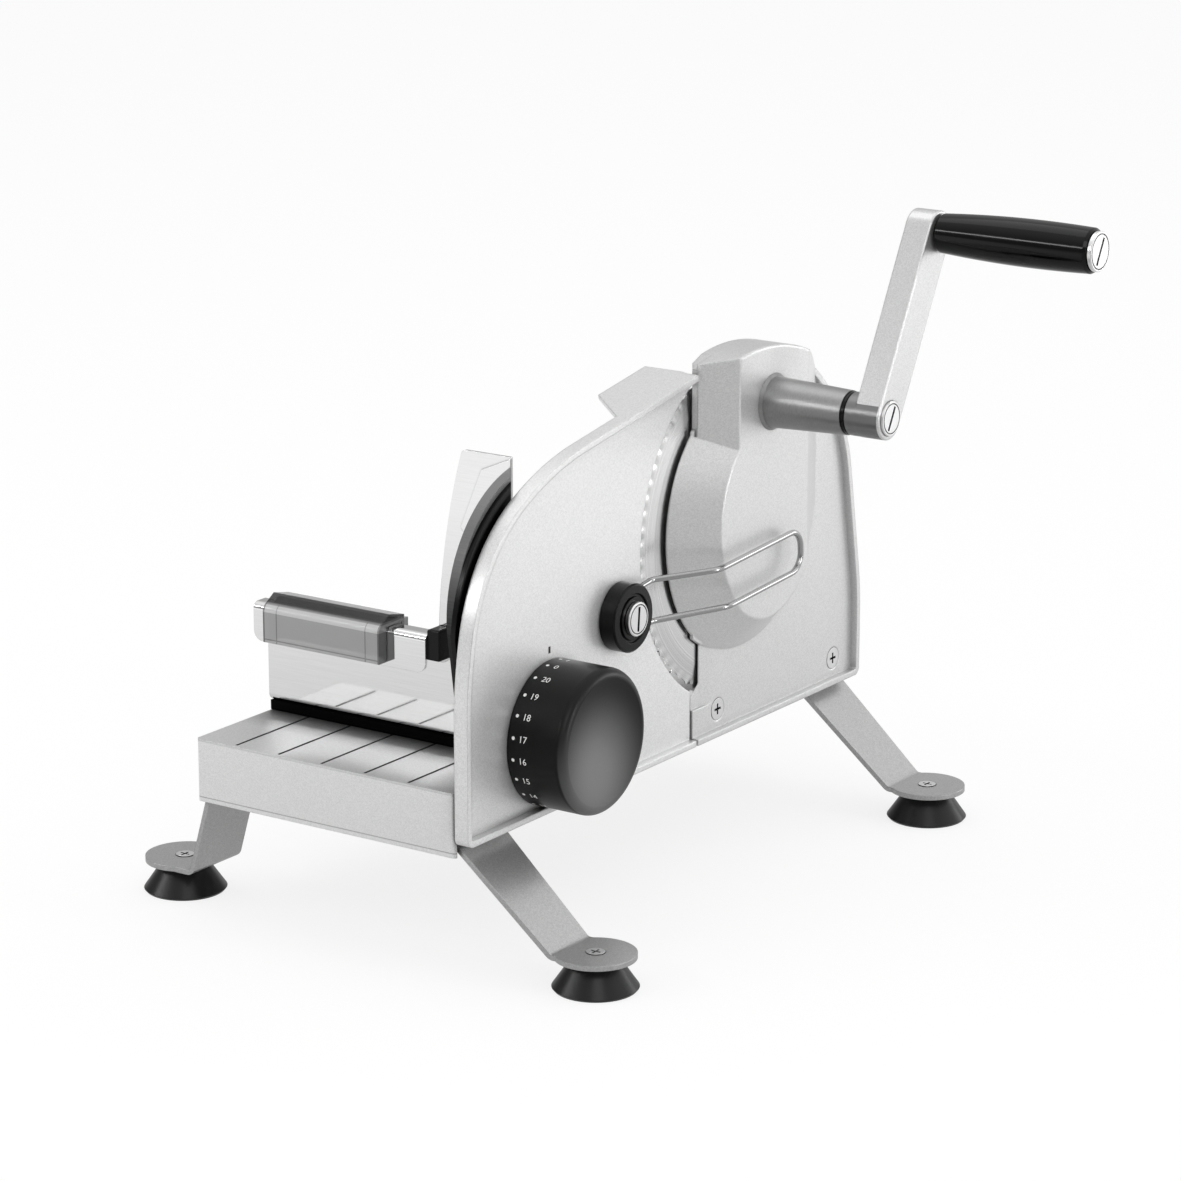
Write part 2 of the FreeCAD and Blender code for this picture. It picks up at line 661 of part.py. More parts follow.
def make_table():
    """A folded sheet: top with five grooves, skirts, and a slot for the carriage slider."""
    skirt_z = TABLE_TOP_Z - SKIRT_HEIGHT
    block = box(TABLE_LEFT_X, TABLE_RIGHT_X, TABLE_NEAR_Y, TABLE_FAR_Y, skirt_z, TABLE_TOP_Z)
    corners = [e for e in block.Edges
               if e.Vertexes[0].Point.distanceToPoint(e.Vertexes[1].Point) < SKIRT_HEIGHT + 1]
    block = block.makeFillet(2.0, corners)
    hollow = box(TABLE_LEFT_X + SHEET, TABLE_RIGHT_X - SHEET, TABLE_NEAR_Y + SHEET, TABLE_FAR_Y - SHEET,
                 skirt_z + SHEET, TABLE_TOP_Z - SHEET)
    mouth = box(TABLE_LEFT_X + SKIRT_FLANGE, TABLE_RIGHT_X - SKIRT_FLANGE, TABLE_NEAR_Y - 1,
                TABLE_FAR_Y - SHEET, skirt_z - 1, skirt_z + SHEET + 1)
    under_near = box(TABLE_LEFT_X + SHEET, TABLE_RIGHT_X - SHEET, TABLE_NEAR_Y - 1, TABLE_NEAR_Y + SHEET + 1,
                     skirt_z - 1, PLATE_BOTTOM_Z + 0.5)
    leg_room = []
    for x in (LEG_LEFT_X, LEG_RIGHT_X):
        leg_room.append(box(x - STRIP_WIDTH / 2 - 1, x + STRIP_WIDTH / 2 + 1, TABLE_NEAR_Y - 1,
                            TABLE_FAR_Y - SHEET, skirt_z - 1, skirt_z + SHEET + 1))
    table = block.cut([hollow, mouth, under_near] + leg_room)
    cuts = []
    for i in range(GROOVE_COUNT):
        y = TABLE_NEAR_Y + TABLE_DEPTH / 2 + (i - (GROOVE_COUNT - 1) / 2) * GROOVE_PITCH + 2.5
        cuts.append(box(TABLE_LEFT_X + 2, TABLE_RIGHT_X - 4, y - GROOVE_WIDTH / 2, y + GROOVE_WIDTH / 2,
                        TABLE_TOP_Z - GROOVE_DEPTH, TABLE_TOP_Z + 1))
    slider_x = WALL_X + SLIDER_START
    slot_half = SLIDER_STEM / 2 + SLIDER_GAP
    slider_y = PLATE_FRONT_Y + SLIDER_Y
    cuts.append(box(slider_x - 2, slider_x + SLIDER_LENGTH + CARRIAGE_TRAVEL + 2, slider_y - slot_half,
                    slider_y + slot_half, TABLE_TOP_Z - SHEET - 1, TABLE_TOP_Z + 1))
    for x in ROD_PLACES:
        cuts.append(rod(x, ROD_Z, ROD_RADIUS + 0.6, TABLE_NEAR_Y - 1, TABLE_NEAR_Y + 3))
    cuts.append(rod(KNOB_X, KNOB_Z - FOLLOWER_OFFSET, FOLLOWER_RADIUS, TABLE_NEAR_Y - 1, TABLE_NEAR_Y + 3))
    for position in CASE_SCREW_POSITIONS:
        cuts.append(rod(CASE_LEFT_X + position, CASE_SCREW_Z, CASE_SCREW_RADIUS, TABLE_NEAR_Y - 1,
                        TABLE_NEAR_Y + 3))
    return table.cut(cuts)


def make_stop_plate():
    """A shallow tray with a rim on three sides, a bay for the blade and a wing folded over the food."""
    outer = stop_outline(0.0, PLATE_RIGHT_X)[0]
    inner = stop_outline(RIM_WIDTH, PLATE_RIGHT_X + 20)[0]
    plate = slab(outer, PLATE_FRONT_Y, PLATE_BACK_Y)
    plate = plate.cut(slab(inner, PLATE_FRONT_Y - 1, PLATE_FACE_Y))
    bay = rod(AXIS_X, BLADE_AXIS_Z, BLADE_RADIUS + BLADE_OPENING_GAP, PLATE_FRONT_Y - 1, PLATE_BACK_Y + 1)
    bay = bay.common(box(PLATE_LEFT_X, AXIS_X, PLATE_FRONT_Y - 2, PLATE_BACK_Y + 2, PLATE_BOTTOM_Z,
                         top_z(PLATE_RIGHT_X) - RIM_WIDTH - 1))
    plate = plate.cut(bay)
    slope = math.tan(math.radians(TOP_SLOPE))
    start = PLATE_LEFT_X + WING_START
    end = PLATE_RIGHT_X + WING_OVERHANG
    wing_back = PLATE_BACK_Y + WING_REACH
    plan = [(start, PLATE_BACK_Y - 1), (start + WING_CUT_RUN, wing_back), (end, wing_back),
            (end, PLATE_BACK_Y + 3), (PLATE_RIGHT_X, PLATE_BACK_Y - 1)]
    points = [V(x, y, top_z(x)) for x, y in plan]
    sheet = Part.Face(Part.makePolygon(points + [points[0]]))
    normal = V(slope, 0, -1)
    normal.normalize()
    wing = sheet.extrude(normal * WING_THICKNESS)
    plate = fuse([plate, wing])
    cuts = []
    cuts.append(rod(KNOB_X, KNOB_Z, KNOB_BOLT_RADIUS + RUNNING_GAP, PLATE_FRONT_Y, PLATE_BACK_Y + 1))
    cuts.append(cone(KNOB_X, KNOB_Z, KNOB_BOLT_RADIUS + RUNNING_GAP, KNOB_BOLT_HEAD + 0.2, PLATE_FACE_Y + 0.6,
                     PLATE_BACK_Y + 0.01))
    cuts.append(rod(KNOB_X, KNOB_Z - FOLLOWER_OFFSET, FOLLOWER_RADIUS + 0.5, PLATE_FRONT_Y, PLATE_BACK_Y + 1))
    cuts.append(rod(KNOB_X, KNOB_Z, KNOB_RADIUS + KNOB_CLEARANCE, PLATE_FRONT_Y - 1, PLATE_FACE_Y))
    cuts.append(rod(DEFLECTOR_X, DEFLECTOR_Z, DEFLECTOR_PIVOT_RADIUS, PLATE_FRONT_Y, PLATE_BACK_Y + 1))
    return plate.cut(cuts)


def make_gear_case():
    """The gear case: a rimmed tray, the raised gear bulge, bosses, and room for blade and gears."""
    tray = slab(case_outline(0.0, CASE_LEFT_X), PLATE_FRONT_Y, PLATE_BACK_Y)
    front_pocket = slab(case_outline(RIM_WIDTH, CASE_LEFT_X - 20), PLATE_FRONT_Y - 1, CASE_FACE_Y)
    notch_x = CASE_LEFT_X + CASE_NOTCH_WIDTH
    strip_x = notch_x + CASE_STRIP_WIDTH
    slant = 0.85 * CASE_NOTCH_WIDTH
    notch = Outline(CASE_LEFT_X - 2, CASE_NOTCH_LOW, 0)
    notch.to(CASE_LEFT_X, CASE_NOTCH_LOW)
    notch.to(notch_x, CASE_NOTCH_LOW + slant)
    notch.to(notch_x, CASE_NOTCH_HIGH - slant)
    notch.to(CASE_LEFT_X - 2, CASE_NOTCH_HIGH)
    plan = [(CASE_LEFT_X - 2, CASE_FACE_Y - 1), (strip_x, CASE_FACE_Y - 1), (strip_x, CASE_FACE_Y),
            (notch_x, CASE_FACE_Y + CASE_STRIP_DEPTH), (CASE_LEFT_X - 2, CASE_FACE_Y + CASE_STRIP_DEPTH)]
    points = [V(x, y, CASE_NOTCH_LOW - slant) for x, y in plan]
    strip = Part.Face(Part.makePolygon(points + [points[0]]))
    strip = strip.extrude(V(0, 0, CASE_NOTCH_HIGH - CASE_NOTCH_LOW))
    lip_disc = rod(LIP_X, LIP_Z, CASE_LIP_RADIUS - 1, PLATE_FRONT_Y - 5, PLATE_BACK_Y + 5)
    edge_cuts = slab(notch.close(), PLATE_FRONT_Y - 1, PLATE_BACK_Y + 1).fuse(strip).cut(lip_disc)
    tray = tray.cut([front_pocket, edge_cuts])
    reach = case_outline(0.0, LIP_X - CASE_LIP_RADIUS - 5)
    upper_left = box(CASE_LEFT_X - BEYOND, CASE_LEFT_X, BULGE_FRONT_Y - 1, PLATE_BACK_Y, LIP_Z,
                     CRANK_AXIS_Z + BEYOND)
    upper_left = upper_left.cut(rod(LIP_X, LIP_Z, CASE_LIP_RADIUS + 1, BULGE_FRONT_Y - 5, PLATE_BACK_Y + 5))
    raised = bulge(0.0).common(slab(reach, BULGE_FRONT_Y - 1, PLATE_BACK_Y)).cut(upper_left)
    front_edges = []
    for e in raised.Edges:
        on_front = all(abs(v.Y - BULGE_FRONT_Y) < 1e-3 for v in e.Vertexes)
        if on_front and len(e.Vertexes) == 2:
            front_edges.append(e)
    raised = raised.makeFillet(BULGE_FILLET, front_edges)
    case = fuse([tray, raised])
    hollow_reach = case_outline(RIM_WIDTH, LIP_X - CASE_LIP_RADIUS - 5)
    hollow = bulge(BULGE_WALL).common(slab(hollow_reach, BULGE_FRONT_Y - 1, PLATE_BACK_Y + 2))
    hollow = hollow.common(box(CASE_LEFT_X + BULGE_WALL, CASE_RIGHT_X, BULGE_FRONT_Y, PLATE_BACK_Y + 2,
                               PLATE_BOTTOM_Z, CRANK_AXIS_Z + BEYOND))
    blade_room = rod(AXIS_X, BLADE_AXIS_Z, BLADE_RADIUS + BLADE_POCKET_GAP, CASE_FACE_Y + CASE_WALL,
                     PLATE_BACK_Y + 1)
    gear_room = rod(AXIS_X, BLADE_AXIS_Z, gear_tip(BLADE_TEETH) + 1.2, GEAR_FRONT_Y - 1.0, PLATE_BACK_Y + 1)
    pinion_room = rod(AXIS_X, CRANK_AXIS_Z, gear_tip(CRANK_TEETH) + 0.8, GEAR_FRONT_Y - 1.0, PLATE_BACK_Y + 1)
    edge_room = box(CASE_LEFT_X - 1, CASE_LEFT_X + CASE_EDGE_REACH, PLATE_FRONT_Y + CASE_EDGE_WALL,
                    PLATE_BACK_Y + 1, LIP_Z + CASE_EDGE_RISE, CRANK_AXIS_Z + BEYOND)
    case = case.cut([hollow, blade_room, gear_room, pinion_room, edge_room])
    boss_back = GEAR_FRONT_Y - 1.2
    axle_boss = rod(AXIS_X, BLADE_AXIS_Z, AXLE_RADIUS + 5.0, BULGE_FRONT_Y + 1, AXLE_SEAT_Y + AXLE_SEAT)
    tube_boss = rod(AXIS_X, CRANK_AXIS_Z, TUBE_RADIUS + 3.5, BULGE_FRONT_Y + 1, boss_back)
    screw_bosses = []
    for position in CASE_SCREW_POSITIONS:
        screw_bosses.append(rod(CASE_LEFT_X + position, CASE_SCREW_Z, CASE_SCREW_HEAD + 1.2,
                                CASE_FACE_Y + 0.5, TABLE_NEAR_Y))
    case = fuse([case, axle_boss, tube_boss] + screw_bosses)
    cuts = [
        rod(AXIS_X, BLADE_AXIS_Z, AXLE_RADIUS, AXLE_SEAT_Y, PLATE_BACK_Y),
        rod(AXIS_X, CRANK_AXIS_Z, TUBE_RADIUS, BULGE_FRONT_Y - 1, boss_back + 1),
    ]
    for position in CASE_SCREW_POSITIONS:
        x = CASE_LEFT_X + position
        cuts.append(rod(x, CASE_SCREW_Z, CASE_SCREW_RADIUS, PLATE_FRONT_Y, TABLE_NEAR_Y + 1))
        cuts.append(cone(x, CASE_SCREW_Z, CASE_SCREW_HEAD + SINK_RING, CASE_SCREW_RADIUS, CASE_FACE_Y - 0.05,
                         CASE_FACE_Y + CASE_SCREW_SINK))
    return case.cut(cuts)


def gear_tip(teeth):
    """Outside radius of a gear."""
    return GEAR_MODULE * (teeth / 2 + 1)


def make_blade():
    """A round blade with a wavy edge, a ground bevel and a dished middle."""
    x = AXIS_X
    z = BLADE_AXIS_Z
    back = BLADE_BACK_Y
    front = BLADE_FRONT_Y
    bevel = BLADE_RADIUS - BEVEL_WIDTH
    dish = DISH_RADIUS
    slope = DISH_RADIUS + DISH_SLOPE_RUN
    profile = [
        (BOLT_SHANK_RADIUS, front - DISH_DEPTH),
        (dish, front - DISH_DEPTH),
        (slope, front),
        (bevel, front),
        (BLADE_RADIUS, back - BLADE_EDGE_THICKNESS),
        (BLADE_RADIUS, back),
        (slope, back),
        (dish, back - DISH_DEPTH),
        (BOLT_SHANK_RADIUS, back - DISH_DEPTH),
    ]
    blade = turned(profile, x, z)
    step = 2 * math.pi / WAVE_COUNT
    crest = BLADE_RADIUS
    valley = BLADE_RADIUS - WAVE_DEPTH
    edges = []
    for i in range(WAVE_COUNT):
        a = i * step
        points = []
        for share, r in ((0.0, crest), (0.5, valley), (1.0, crest)):
            b = a + share * step
            points.append(V(x + r * math.sin(b), front - 5, z + r * math.cos(b)))
        edges.append(Part.Arc(*points).toShape())
    cutter = Part.Face(Part.Wire(edges)).extrude(V(0, 12, 0))
    blade = blade.common(cutter)
    pegs = []
    for side in (-1, 1):
        pegs.append(rod(x + side * PEG_OFFSET, z, PEG_RADIUS, front - 5, back + 1))
    return blade.cut(pegs)


def make_blade_gear():
    """The large gear behind the blade, with a pierced web, a hub and two drive pegs."""
    wheel = gear(BLADE_TEETH, GEAR_WIDTH, GEAR_BACKLASH)
    wheel.rotate(V(0, 0, 0), V(0, 1, 0), 180.0 / BLADE_TEETH)
    wheel.translate(V(AXIS_X, GEAR_FRONT_Y, BLADE_AXIS_Z))
    rim_inner = GEAR_MODULE * BLADE_TEETH / 2 - GEAR_RIM
    web_back = GEAR_BACK_Y - 1.0
    web_front = web_back - GEAR_WEB
    cuts = [
        ring(AXIS_X, BLADE_AXIS_Z, rim_inner, GEAR_HUB_RADIUS, GEAR_FRONT_Y - 1, web_front),
        ring(AXIS_X, BLADE_AXIS_Z, rim_inner, DISH_RADIUS - 2, web_back, GEAR_BACK_Y + 1),
    ]
    hole_circle = (rim_inner + GEAR_HUB_RADIUS) / 2
    for i in range(WEB_HOLE_COUNT):
        a = 2 * math.pi * (i + 0.5) / WEB_HOLE_COUNT
        cuts.append(rod(AXIS_X + hole_circle * math.sin(a), BLADE_AXIS_Z + hole_circle * math.cos(a),
                        WEB_HOLE_RADIUS, GEAR_FRONT_Y - 1, GEAR_BACK_Y + 1))
    wheel = wheel.cut(cuts)
    seat = BLADE_FRONT_Y - DISH_DEPTH
    hub_front = AXLE_SEAT_Y + AXLE_SEAT + HUB_GAP
    hub = rod(AXIS_X, BLADE_AXIS_Z, GEAR_HUB_RADIUS, hub_front, seat)
    pads = []
    pegs = []
    for side in (-1, 1):
        pads.append(rod(AXIS_X + side * PEG_OFFSET, BLADE_AXIS_Z, PEG_RADIUS + 2.5, web_front, seat))
        pegs.append(rod(AXIS_X + side * PEG_OFFSET, BLADE_AXIS_Z, PEG_RADIUS, web_front,
                        seat + BLADE_THICKNESS))
    wheel = fuse([wheel, hub] + pads + pegs)
    mouth_y = GEAR_FRONT_Y + 2.2
    return wheel.cut([
        rod(AXIS_X, BLADE_AXIS_Z, AXLE_RADIUS + BUSH_WALL, hub_front - 1, mouth_y + 0.1),
        rod(AXIS_X, BLADE_AXIS_Z, BOLT_SHANK_RADIUS, mouth_y, seat + 1),
    ])


def make_blade_mount():
    """Axle, bush, retaining clip and bolt of the blade."""
    hub_front = AXLE_SEAT_Y + AXLE_SEAT + HUB_GAP
    mouth_y = GEAR_FRONT_Y + 2.2
    clip_y = mouth_y + 0.3
    axle_end = clip_y + 1.8
    axle = rod(AXIS_X, BLADE_AXIS_Z, AXLE_RADIUS, AXLE_SEAT_Y, axle_end)
    groove = ring(AXIS_X, BLADE_AXIS_Z, AXLE_RADIUS + 1, AXLE_RADIUS - 1, clip_y, clip_y + 0.8)
    save("blade_axle", axle.cut(groove))
    clip = ring(AXIS_X, BLADE_AXIS_Z, AXLE_RADIUS + 2.0, AXLE_RADIUS - 1, clip_y, clip_y + 0.8)
    clip = clip.cut(box(AXIS_X - 2.5, AXIS_X + 2.5, clip_y - 1, clip_y + 2, BLADE_AXIS_Z, BLADE_AXIS_Z + 20))
    save("axle_clip", clip)
    save("blade_bush", ring(AXIS_X, BLADE_AXIS_Z, AXLE_RADIUS + BUSH_WALL, AXLE_RADIUS + RUNNING_GAP,
                            hub_front, mouth_y))
    seat = BLADE_BACK_Y - DISH_DEPTH
    head = rod(AXIS_X, BLADE_AXIS_Z, BOLT_HEAD_RADIUS, seat, seat + BOLT_HEAD_HEIGHT)
    shank = ring(AXIS_X, BLADE_AXIS_Z, BOLT_SHANK_RADIUS, AXLE_RADIUS + 1.0, clip_y + 1.1, seat)
    coin_slot = box(AXIS_X - BOLT_HEAD_RADIUS - 1, AXIS_X + BOLT_HEAD_RADIUS + 1, seat + 0.8, seat + 5,
                    BLADE_AXIS_Z - 1.0, BLADE_AXIS_Z + 1.0)
    save("blade_bolt", fuse([head, shank]).cut(coin_slot))


def make_bearing_tube():
    """The tapered tube that carries the crank shaft, with a collar at the gear case."""
    boss_back = GEAR_FRONT_Y - 1.2
    tube = cone(AXIS_X, CRANK_AXIS_Z, TUBE_END_RADIUS, TUBE_RADIUS, TUBE_END_Y, BULGE_FRONT_Y)
    collar = cone(AXIS_X, CRANK_AXIS_Z, TUBE_RADIUS, TUBE_RADIUS + TUBE_COLLAR, BULGE_FRONT_Y - TUBE_COLLAR,
                  BULGE_FRONT_Y)
    spigot = rod(AXIS_X, CRANK_AXIS_Z, TUBE_RADIUS, BULGE_FRONT_Y, boss_back)
    tube = fuse([tube, collar, spigot])
    return tube.cut(rod(AXIS_X, CRANK_AXIS_Z, TUBE_BORE, TUBE_END_Y - 1, boss_back + 1))


def make_crank():
    """Shaft, bushes, pinion, arm, buttons, pin and grip."""
    x = AXIS_X
    z = CRANK_AXIS_Z
    boss_back = GEAR_FRONT_Y - 1.2
    bush_length = 12.0
    bush = ring(x, z, TUBE_BORE, SHAFT_RADIUS + RUNNING_GAP, boss_back - bush_length, boss_back)
    save("inner_shaft_bush", bush)
    flange_y = TUBE_END_Y - BUSH_FLANGE
    outer = fuse([rod(x, z, TUBE_BORE, TUBE_END_Y, TUBE_END_Y + bush_length),
                  rod(x, z, TUBE_END_RADIUS - 0.4, flange_y, TUBE_END_Y)])
    save("outer_shaft_bush", outer.cut(rod(x, z, SHAFT_RADIUS + RUNNING_GAP, flange_y - 1, PLATE_BACK_Y)))
    pinion = gear(CRANK_TEETH, GEAR_WIDTH, GEAR_BACKLASH)
    pinion.rotate(V(0, 0, 0), V(0, 1, 0), 180)
    pinion.translate(V(x, GEAR_FRONT_Y, z))
    flat = box(x - 10, x + 10, GEAR_FRONT_Y - 5, GEAR_BACK_Y + 5, z + SHAFT_RADIUS - 1.5, z + 10)
    bore = rod(x, z, SHAFT_RADIUS, GEAR_FRONT_Y - 1, GEAR_BACK_Y + 1).cut(flat)
    save("crank_pinion", pinion.cut(bore))
    shaft_front = ARM_FRONT_Y + 3.0
    shaft = rod(x, z, SHAFT_RADIUS, shaft_front, GEAR_BACK_Y + 2.0)
    inner_flat = box(x - 10, x + 10, GEAR_FRONT_Y, GEAR_BACK_Y + 5, z + SHAFT_RADIUS - 1.5, z + 10)
    outer_flat = box(x - 10, x + 10, shaft_front - 1, ARM_FRONT_Y + HUB_DEPTH, z + SHAFT_RADIUS - 1.5, z + 10)
    groove = ring(x, z, SHAFT_RADIUS + 1, SHAFT_RADIUS - 1, GEAR_BACK_Y, GEAR_BACK_Y + 0.9)
    save("crank_shaft", shaft.cut([inner_flat, outer_flat, groove]))
    clip = ring(x, z, SHAFT_RADIUS + 2.2, SHAFT_RADIUS - 1, GEAR_BACK_Y, GEAR_BACK_Y + 0.9)
    clip_gap = box(x - 2.5, x + 2.5, GEAR_BACK_Y - 1, GEAR_BACK_Y + 2, z + 1, z + 20)
    flat_room = inner_flat.common(box(x - 4.2, x + 4.2, GEAR_FRONT_Y, GEAR_BACK_Y + 5, z, z + 20))
    save("pinion_clip", clip.cut(clip_gap).cut(flat_room))
    lean = math.radians(CRANK_LEAN)
    gx = x + CRANK_RADIUS * math.sin(lean)
    gz = z + CRANK_RADIUS * math.cos(lean)
    r = ARM_HALF_WIDTH
    side = (r * math.cos(lean), -r * math.sin(lean))
    tip = (r * math.sin(lean), r * math.cos(lean))
    line = Outline(x - side[0], z - side[1], 90)
    line.to(gx - side[0], gz - side[1])
    line.arc((gx + tip[0], gz + tip[1]), (gx + side[0], gz + side[1]))
    line.to(x + side[0], z + side[1])
    line.arc((x - tip[0], z - tip[1]), (x - side[0], z - side[1]))
    arm = slab(line.close(), ARM_FRONT_Y, ARM_FRONT_Y + ARM_DEPTH)
    long_edges = [e for e in arm.Edges if abs(e.Vertexes[0].Y - e.Vertexes[-1].Y) < 1e-6]
    arm = arm.makeFillet(ARM_EDGE, long_edges)
    hub = rod(x, z, TUBE_END_RADIUS - 0.3, ARM_FRONT_Y + ARM_DEPTH - 2, ARM_FRONT_Y + HUB_DEPTH)
    arm = fuse([arm, hub])
    shaft_hole = rod(x, z, SHAFT_RADIUS, shaft_front, ARM_FRONT_Y + HUB_DEPTH + 1).cut(outer_flat)
    button_seat = rod(x, z, BUTTON_RADIUS, ARM_FRONT_Y - 1, ARM_FRONT_Y + 1.5)
    screw_hole = rod(x, z, 3.0, ARM_FRONT_Y, shaft_front + 1)
    pin_hole = rod(gx, gz, GRIP_PIN_RADIUS, ARM_FRONT_Y - 1, ARM_FRONT_Y + ARM_DEPTH - 3)
    save("crank_arm", arm.cut([shaft_hole, button_seat, screw_hole, pin_hole]))
    save("crank_screw", make_button(x, z, BUTTON_RADIUS - 0.15, ARM_FRONT_Y + 1.5, BUTTON_HEIGHT + 1.5, 3.0,
                                    shaft_front - ARM_FRONT_Y - 1.5, CRANK_LEAN))
    grip_y = ARM_FRONT_Y - 1.0
    grip_end = grip_y - GRIP_LENGTH
    save("handle_pin", fuse([
        make_button(gx, gz, GRIP_BUTTON_RADIUS, grip_end - 0.5, 2.0, GRIP_PIN_RADIUS,
                    GRIP_LENGTH + ARM_DEPTH - 2.5, CRANK_LEAN),
        rod(gx, gz, GRIP_PIN_RADIUS + 2.5, grip_y + 0.2, ARM_FRONT_Y),
    ]))
    save("handle_grip", make_grip(gx, gz, grip_y))


def make_button(x, z, radius, seat_y, height, shank_radius, shank_length, tilt):
    """A slotted screw with a low round head that faces -Y, and a shank along +Y."""
    head = rod(x, z, radius, seat_y - height, seat_y)
    face_edge = [e for e in head.Edges
                 if abs(e.Vertexes[0].Y - seat_y + height) < 1e-6 and len(e.Vertexes) == 1]
    head = head.makeChamfer(0.4, face_edge)
    slot = box(x - SLOT_WIDTH / 2, x + SLOT_WIDTH / 2, seat_y - height - 1, seat_y - height + SLOT_DEPTH,
               z - 0.72 * radius, z + 0.72 * radius)
    slot.rotate(V(x, 0, z), V(0, 1, 0), tilt)
    shank = rod(x, z, shank_radius, seat_y, seat_y + shank_length)
    line = ring(x, z, radius - BUTTON_RING_INSET, radius - BUTTON_RING_INSET - BUTTON_RING_WIDTH,
                seat_y - height - 1, seat_y - height + BUTTON_RING_DEPTH)
    return fuse([head, shank]).cut([slot, line])


def make_grip(x, z, start_y):
    """A barrel grip that turns on its pin."""
    end_y = start_y - GRIP_LENGTH
    low = V(x + GRIP_START_RADIUS - 0.8, start_y, z)
    a = V(x + GRIP_START_RADIUS, start_y - 1.2, z)
    b = V(x + GRIP_MID_RADIUS, start_y - 0.55 * GRIP_LENGTH, z)
    c = V(x + GRIP_END_RADIUS, end_y + 1.5, z)
    d = V(x + GRIP_END_RADIUS - 1.0, end_y, z)
    bore = GRIP_PIN_RADIUS + RUNNING_GAP
    inner_end = V(x + bore, end_y, z)
    inner_start = V(x + bore, start_y, z)
    edges = [
        Part.makeLine(inner_start, low),
        Part.makeLine(low, a),
        Part.Arc(a, b, c).toShape(),
        Part.makeLine(c, d),
        Part.makeLine(d, inner_end),
        Part.makeLine(inner_end, inner_start),
    ]
    return Part.Face(Part.Wire(edges)).revolve(V(x, 0, z), V(0, 1, 0), 360)


def rail_lead():
    """Axial travel of the knob in one turn."""
    return SLICE_RANGE * DIAL_STEPS / (DIAL_STEPS - 1)


def make_knob():
    """The thickness knob: a cup with a dished front and a spiral rail inside."""
    x = KNOB_X
    z = KNOB_Z
    back = PLATE_FACE_Y - KNOB_BACK_GAP
    front = PLATE_FACE_Y - KNOB_HEIGHT
    edge = KNOB_EDGE
    outside = KNOB_RADIUS
    rim = outside - edge
    inside = outside - KNOB_WALL
    core = KNOB_CORE_RADIUS

    def p(r, y):
        return V(x + r, y, z)

    dish_floor = front + KNOB_DISH
    cavity_floor = dish_floor + KNOB_FLOOR
    edges = [
        Part.Arc(p(0, dish_floor), p(0.55 * rim, front + 0.62 * KNOB_DISH), p(rim, front)).toShape(),
        Part.Arc(p(rim, front), p(rim + 0.72 * edge, front + 0.3 * edge), p(outside, front + edge)).toShape(),
        Part.makeLine(p(outside, front + edge), p(outside, back)),
        Part.makeLine(p(outside, back), p(inside, back)),
        Part.makeLine(p(inside, back), p(inside, front + KNOB_FLOOR)),
        Part.makeLine(p(inside, front + KNOB_FLOOR), p(core, cavity_floor)),
        Part.makeLine(p(core, cavity_floor), p(core, back)),
        Part.makeLine(p(core, back), p(0, back)),
        Part.makeLine(p(0, back), p(0, dish_floor)),
    ]
    body = Part.Face(Part.Wire(edges)).revolve(V(x, 0, z), V(0, 1, 0), 360)
    lead = rail_lead()
    lap = RAIL_LAP
    turns = (SLICE_RANGE / lead) + 2 * lap / 360
    middle = (RAIL_INNER_RADIUS + inside + 0.6) / 2
    half_width = (inside + 0.6 - RAIL_INNER_RADIUS) / 2
    half = RAIL_THICKNESS / 2
    helix = Part.makeHelix(lead, lead * turns, middle)
    section = Part.makePolygon([
        V(middle - half_width, 0, -half), V(middle + half_width, 0, -half), V(middle + half_width, 0, half),
        V(middle - half_width, 0, half), V(middle - half_width, 0, -half),
    ])
    rail = Part.Wire(helix.Edges).makePipeShell([section], True, True)
    rail.rotate(V(0, 0, 0), V(0, 0, 1), -lap)
    rail.translate(V(0, 0, -lead * lap / 360))
    rail.rotate(V(0, 0, 0), V(1, 0, 0), -90)
    rail.rotate(V(0, 0, 0), V(0, 1, 0), 90)
    rail.translate(V(x, PLATE_FACE_Y - RAIL_START_DEPTH, z))
    knob = body.fuse(rail).removeSplitter()
    return knob.cut(rod(x, z, KNOB_BOLT_RADIUS, back - 15.0, back + 1))


def make_follower():
    """The fixed bar whose notched tip rides on the knob's spiral rail."""
    x = KNOB_X
    z = KNOB_Z - FOLLOWER_OFFSET
    rail_y = PLATE_FACE_Y - RAIL_START_DEPTH
    tip_y = rail_y - RAIL_THICKNESS / 2 - RAIL_GAP - FOLLOWER_LIP
    bar = rod(x, z, FOLLOWER_RADIUS, tip_y, TABLE_NEAR_Y + SHEET)
    flange = rod(x, z, FOLLOWER_RADIUS + 3.0, TABLE_NEAR_Y + SHEET, TABLE_NEAR_Y + SHEET + 5.0)
    lead_angle = math.degrees(math.atan(rail_lead() / (2 * math.pi * (RAIL_INNER_RADIUS + 3.5))))
    notch_top = KNOB_Z - RAIL_INNER_RADIUS + 0.9
    gap = RAIL_THICKNESS / 2 + RAIL_GAP
    notch = box(x - 12, x + 12, rail_y - gap, rail_y + gap, z - 20, notch_top)
    notch.rotate(V(x, rail_y, z), V(0, 0, 1), -lead_angle)
    return fuse([bar, flange]).cut(notch)


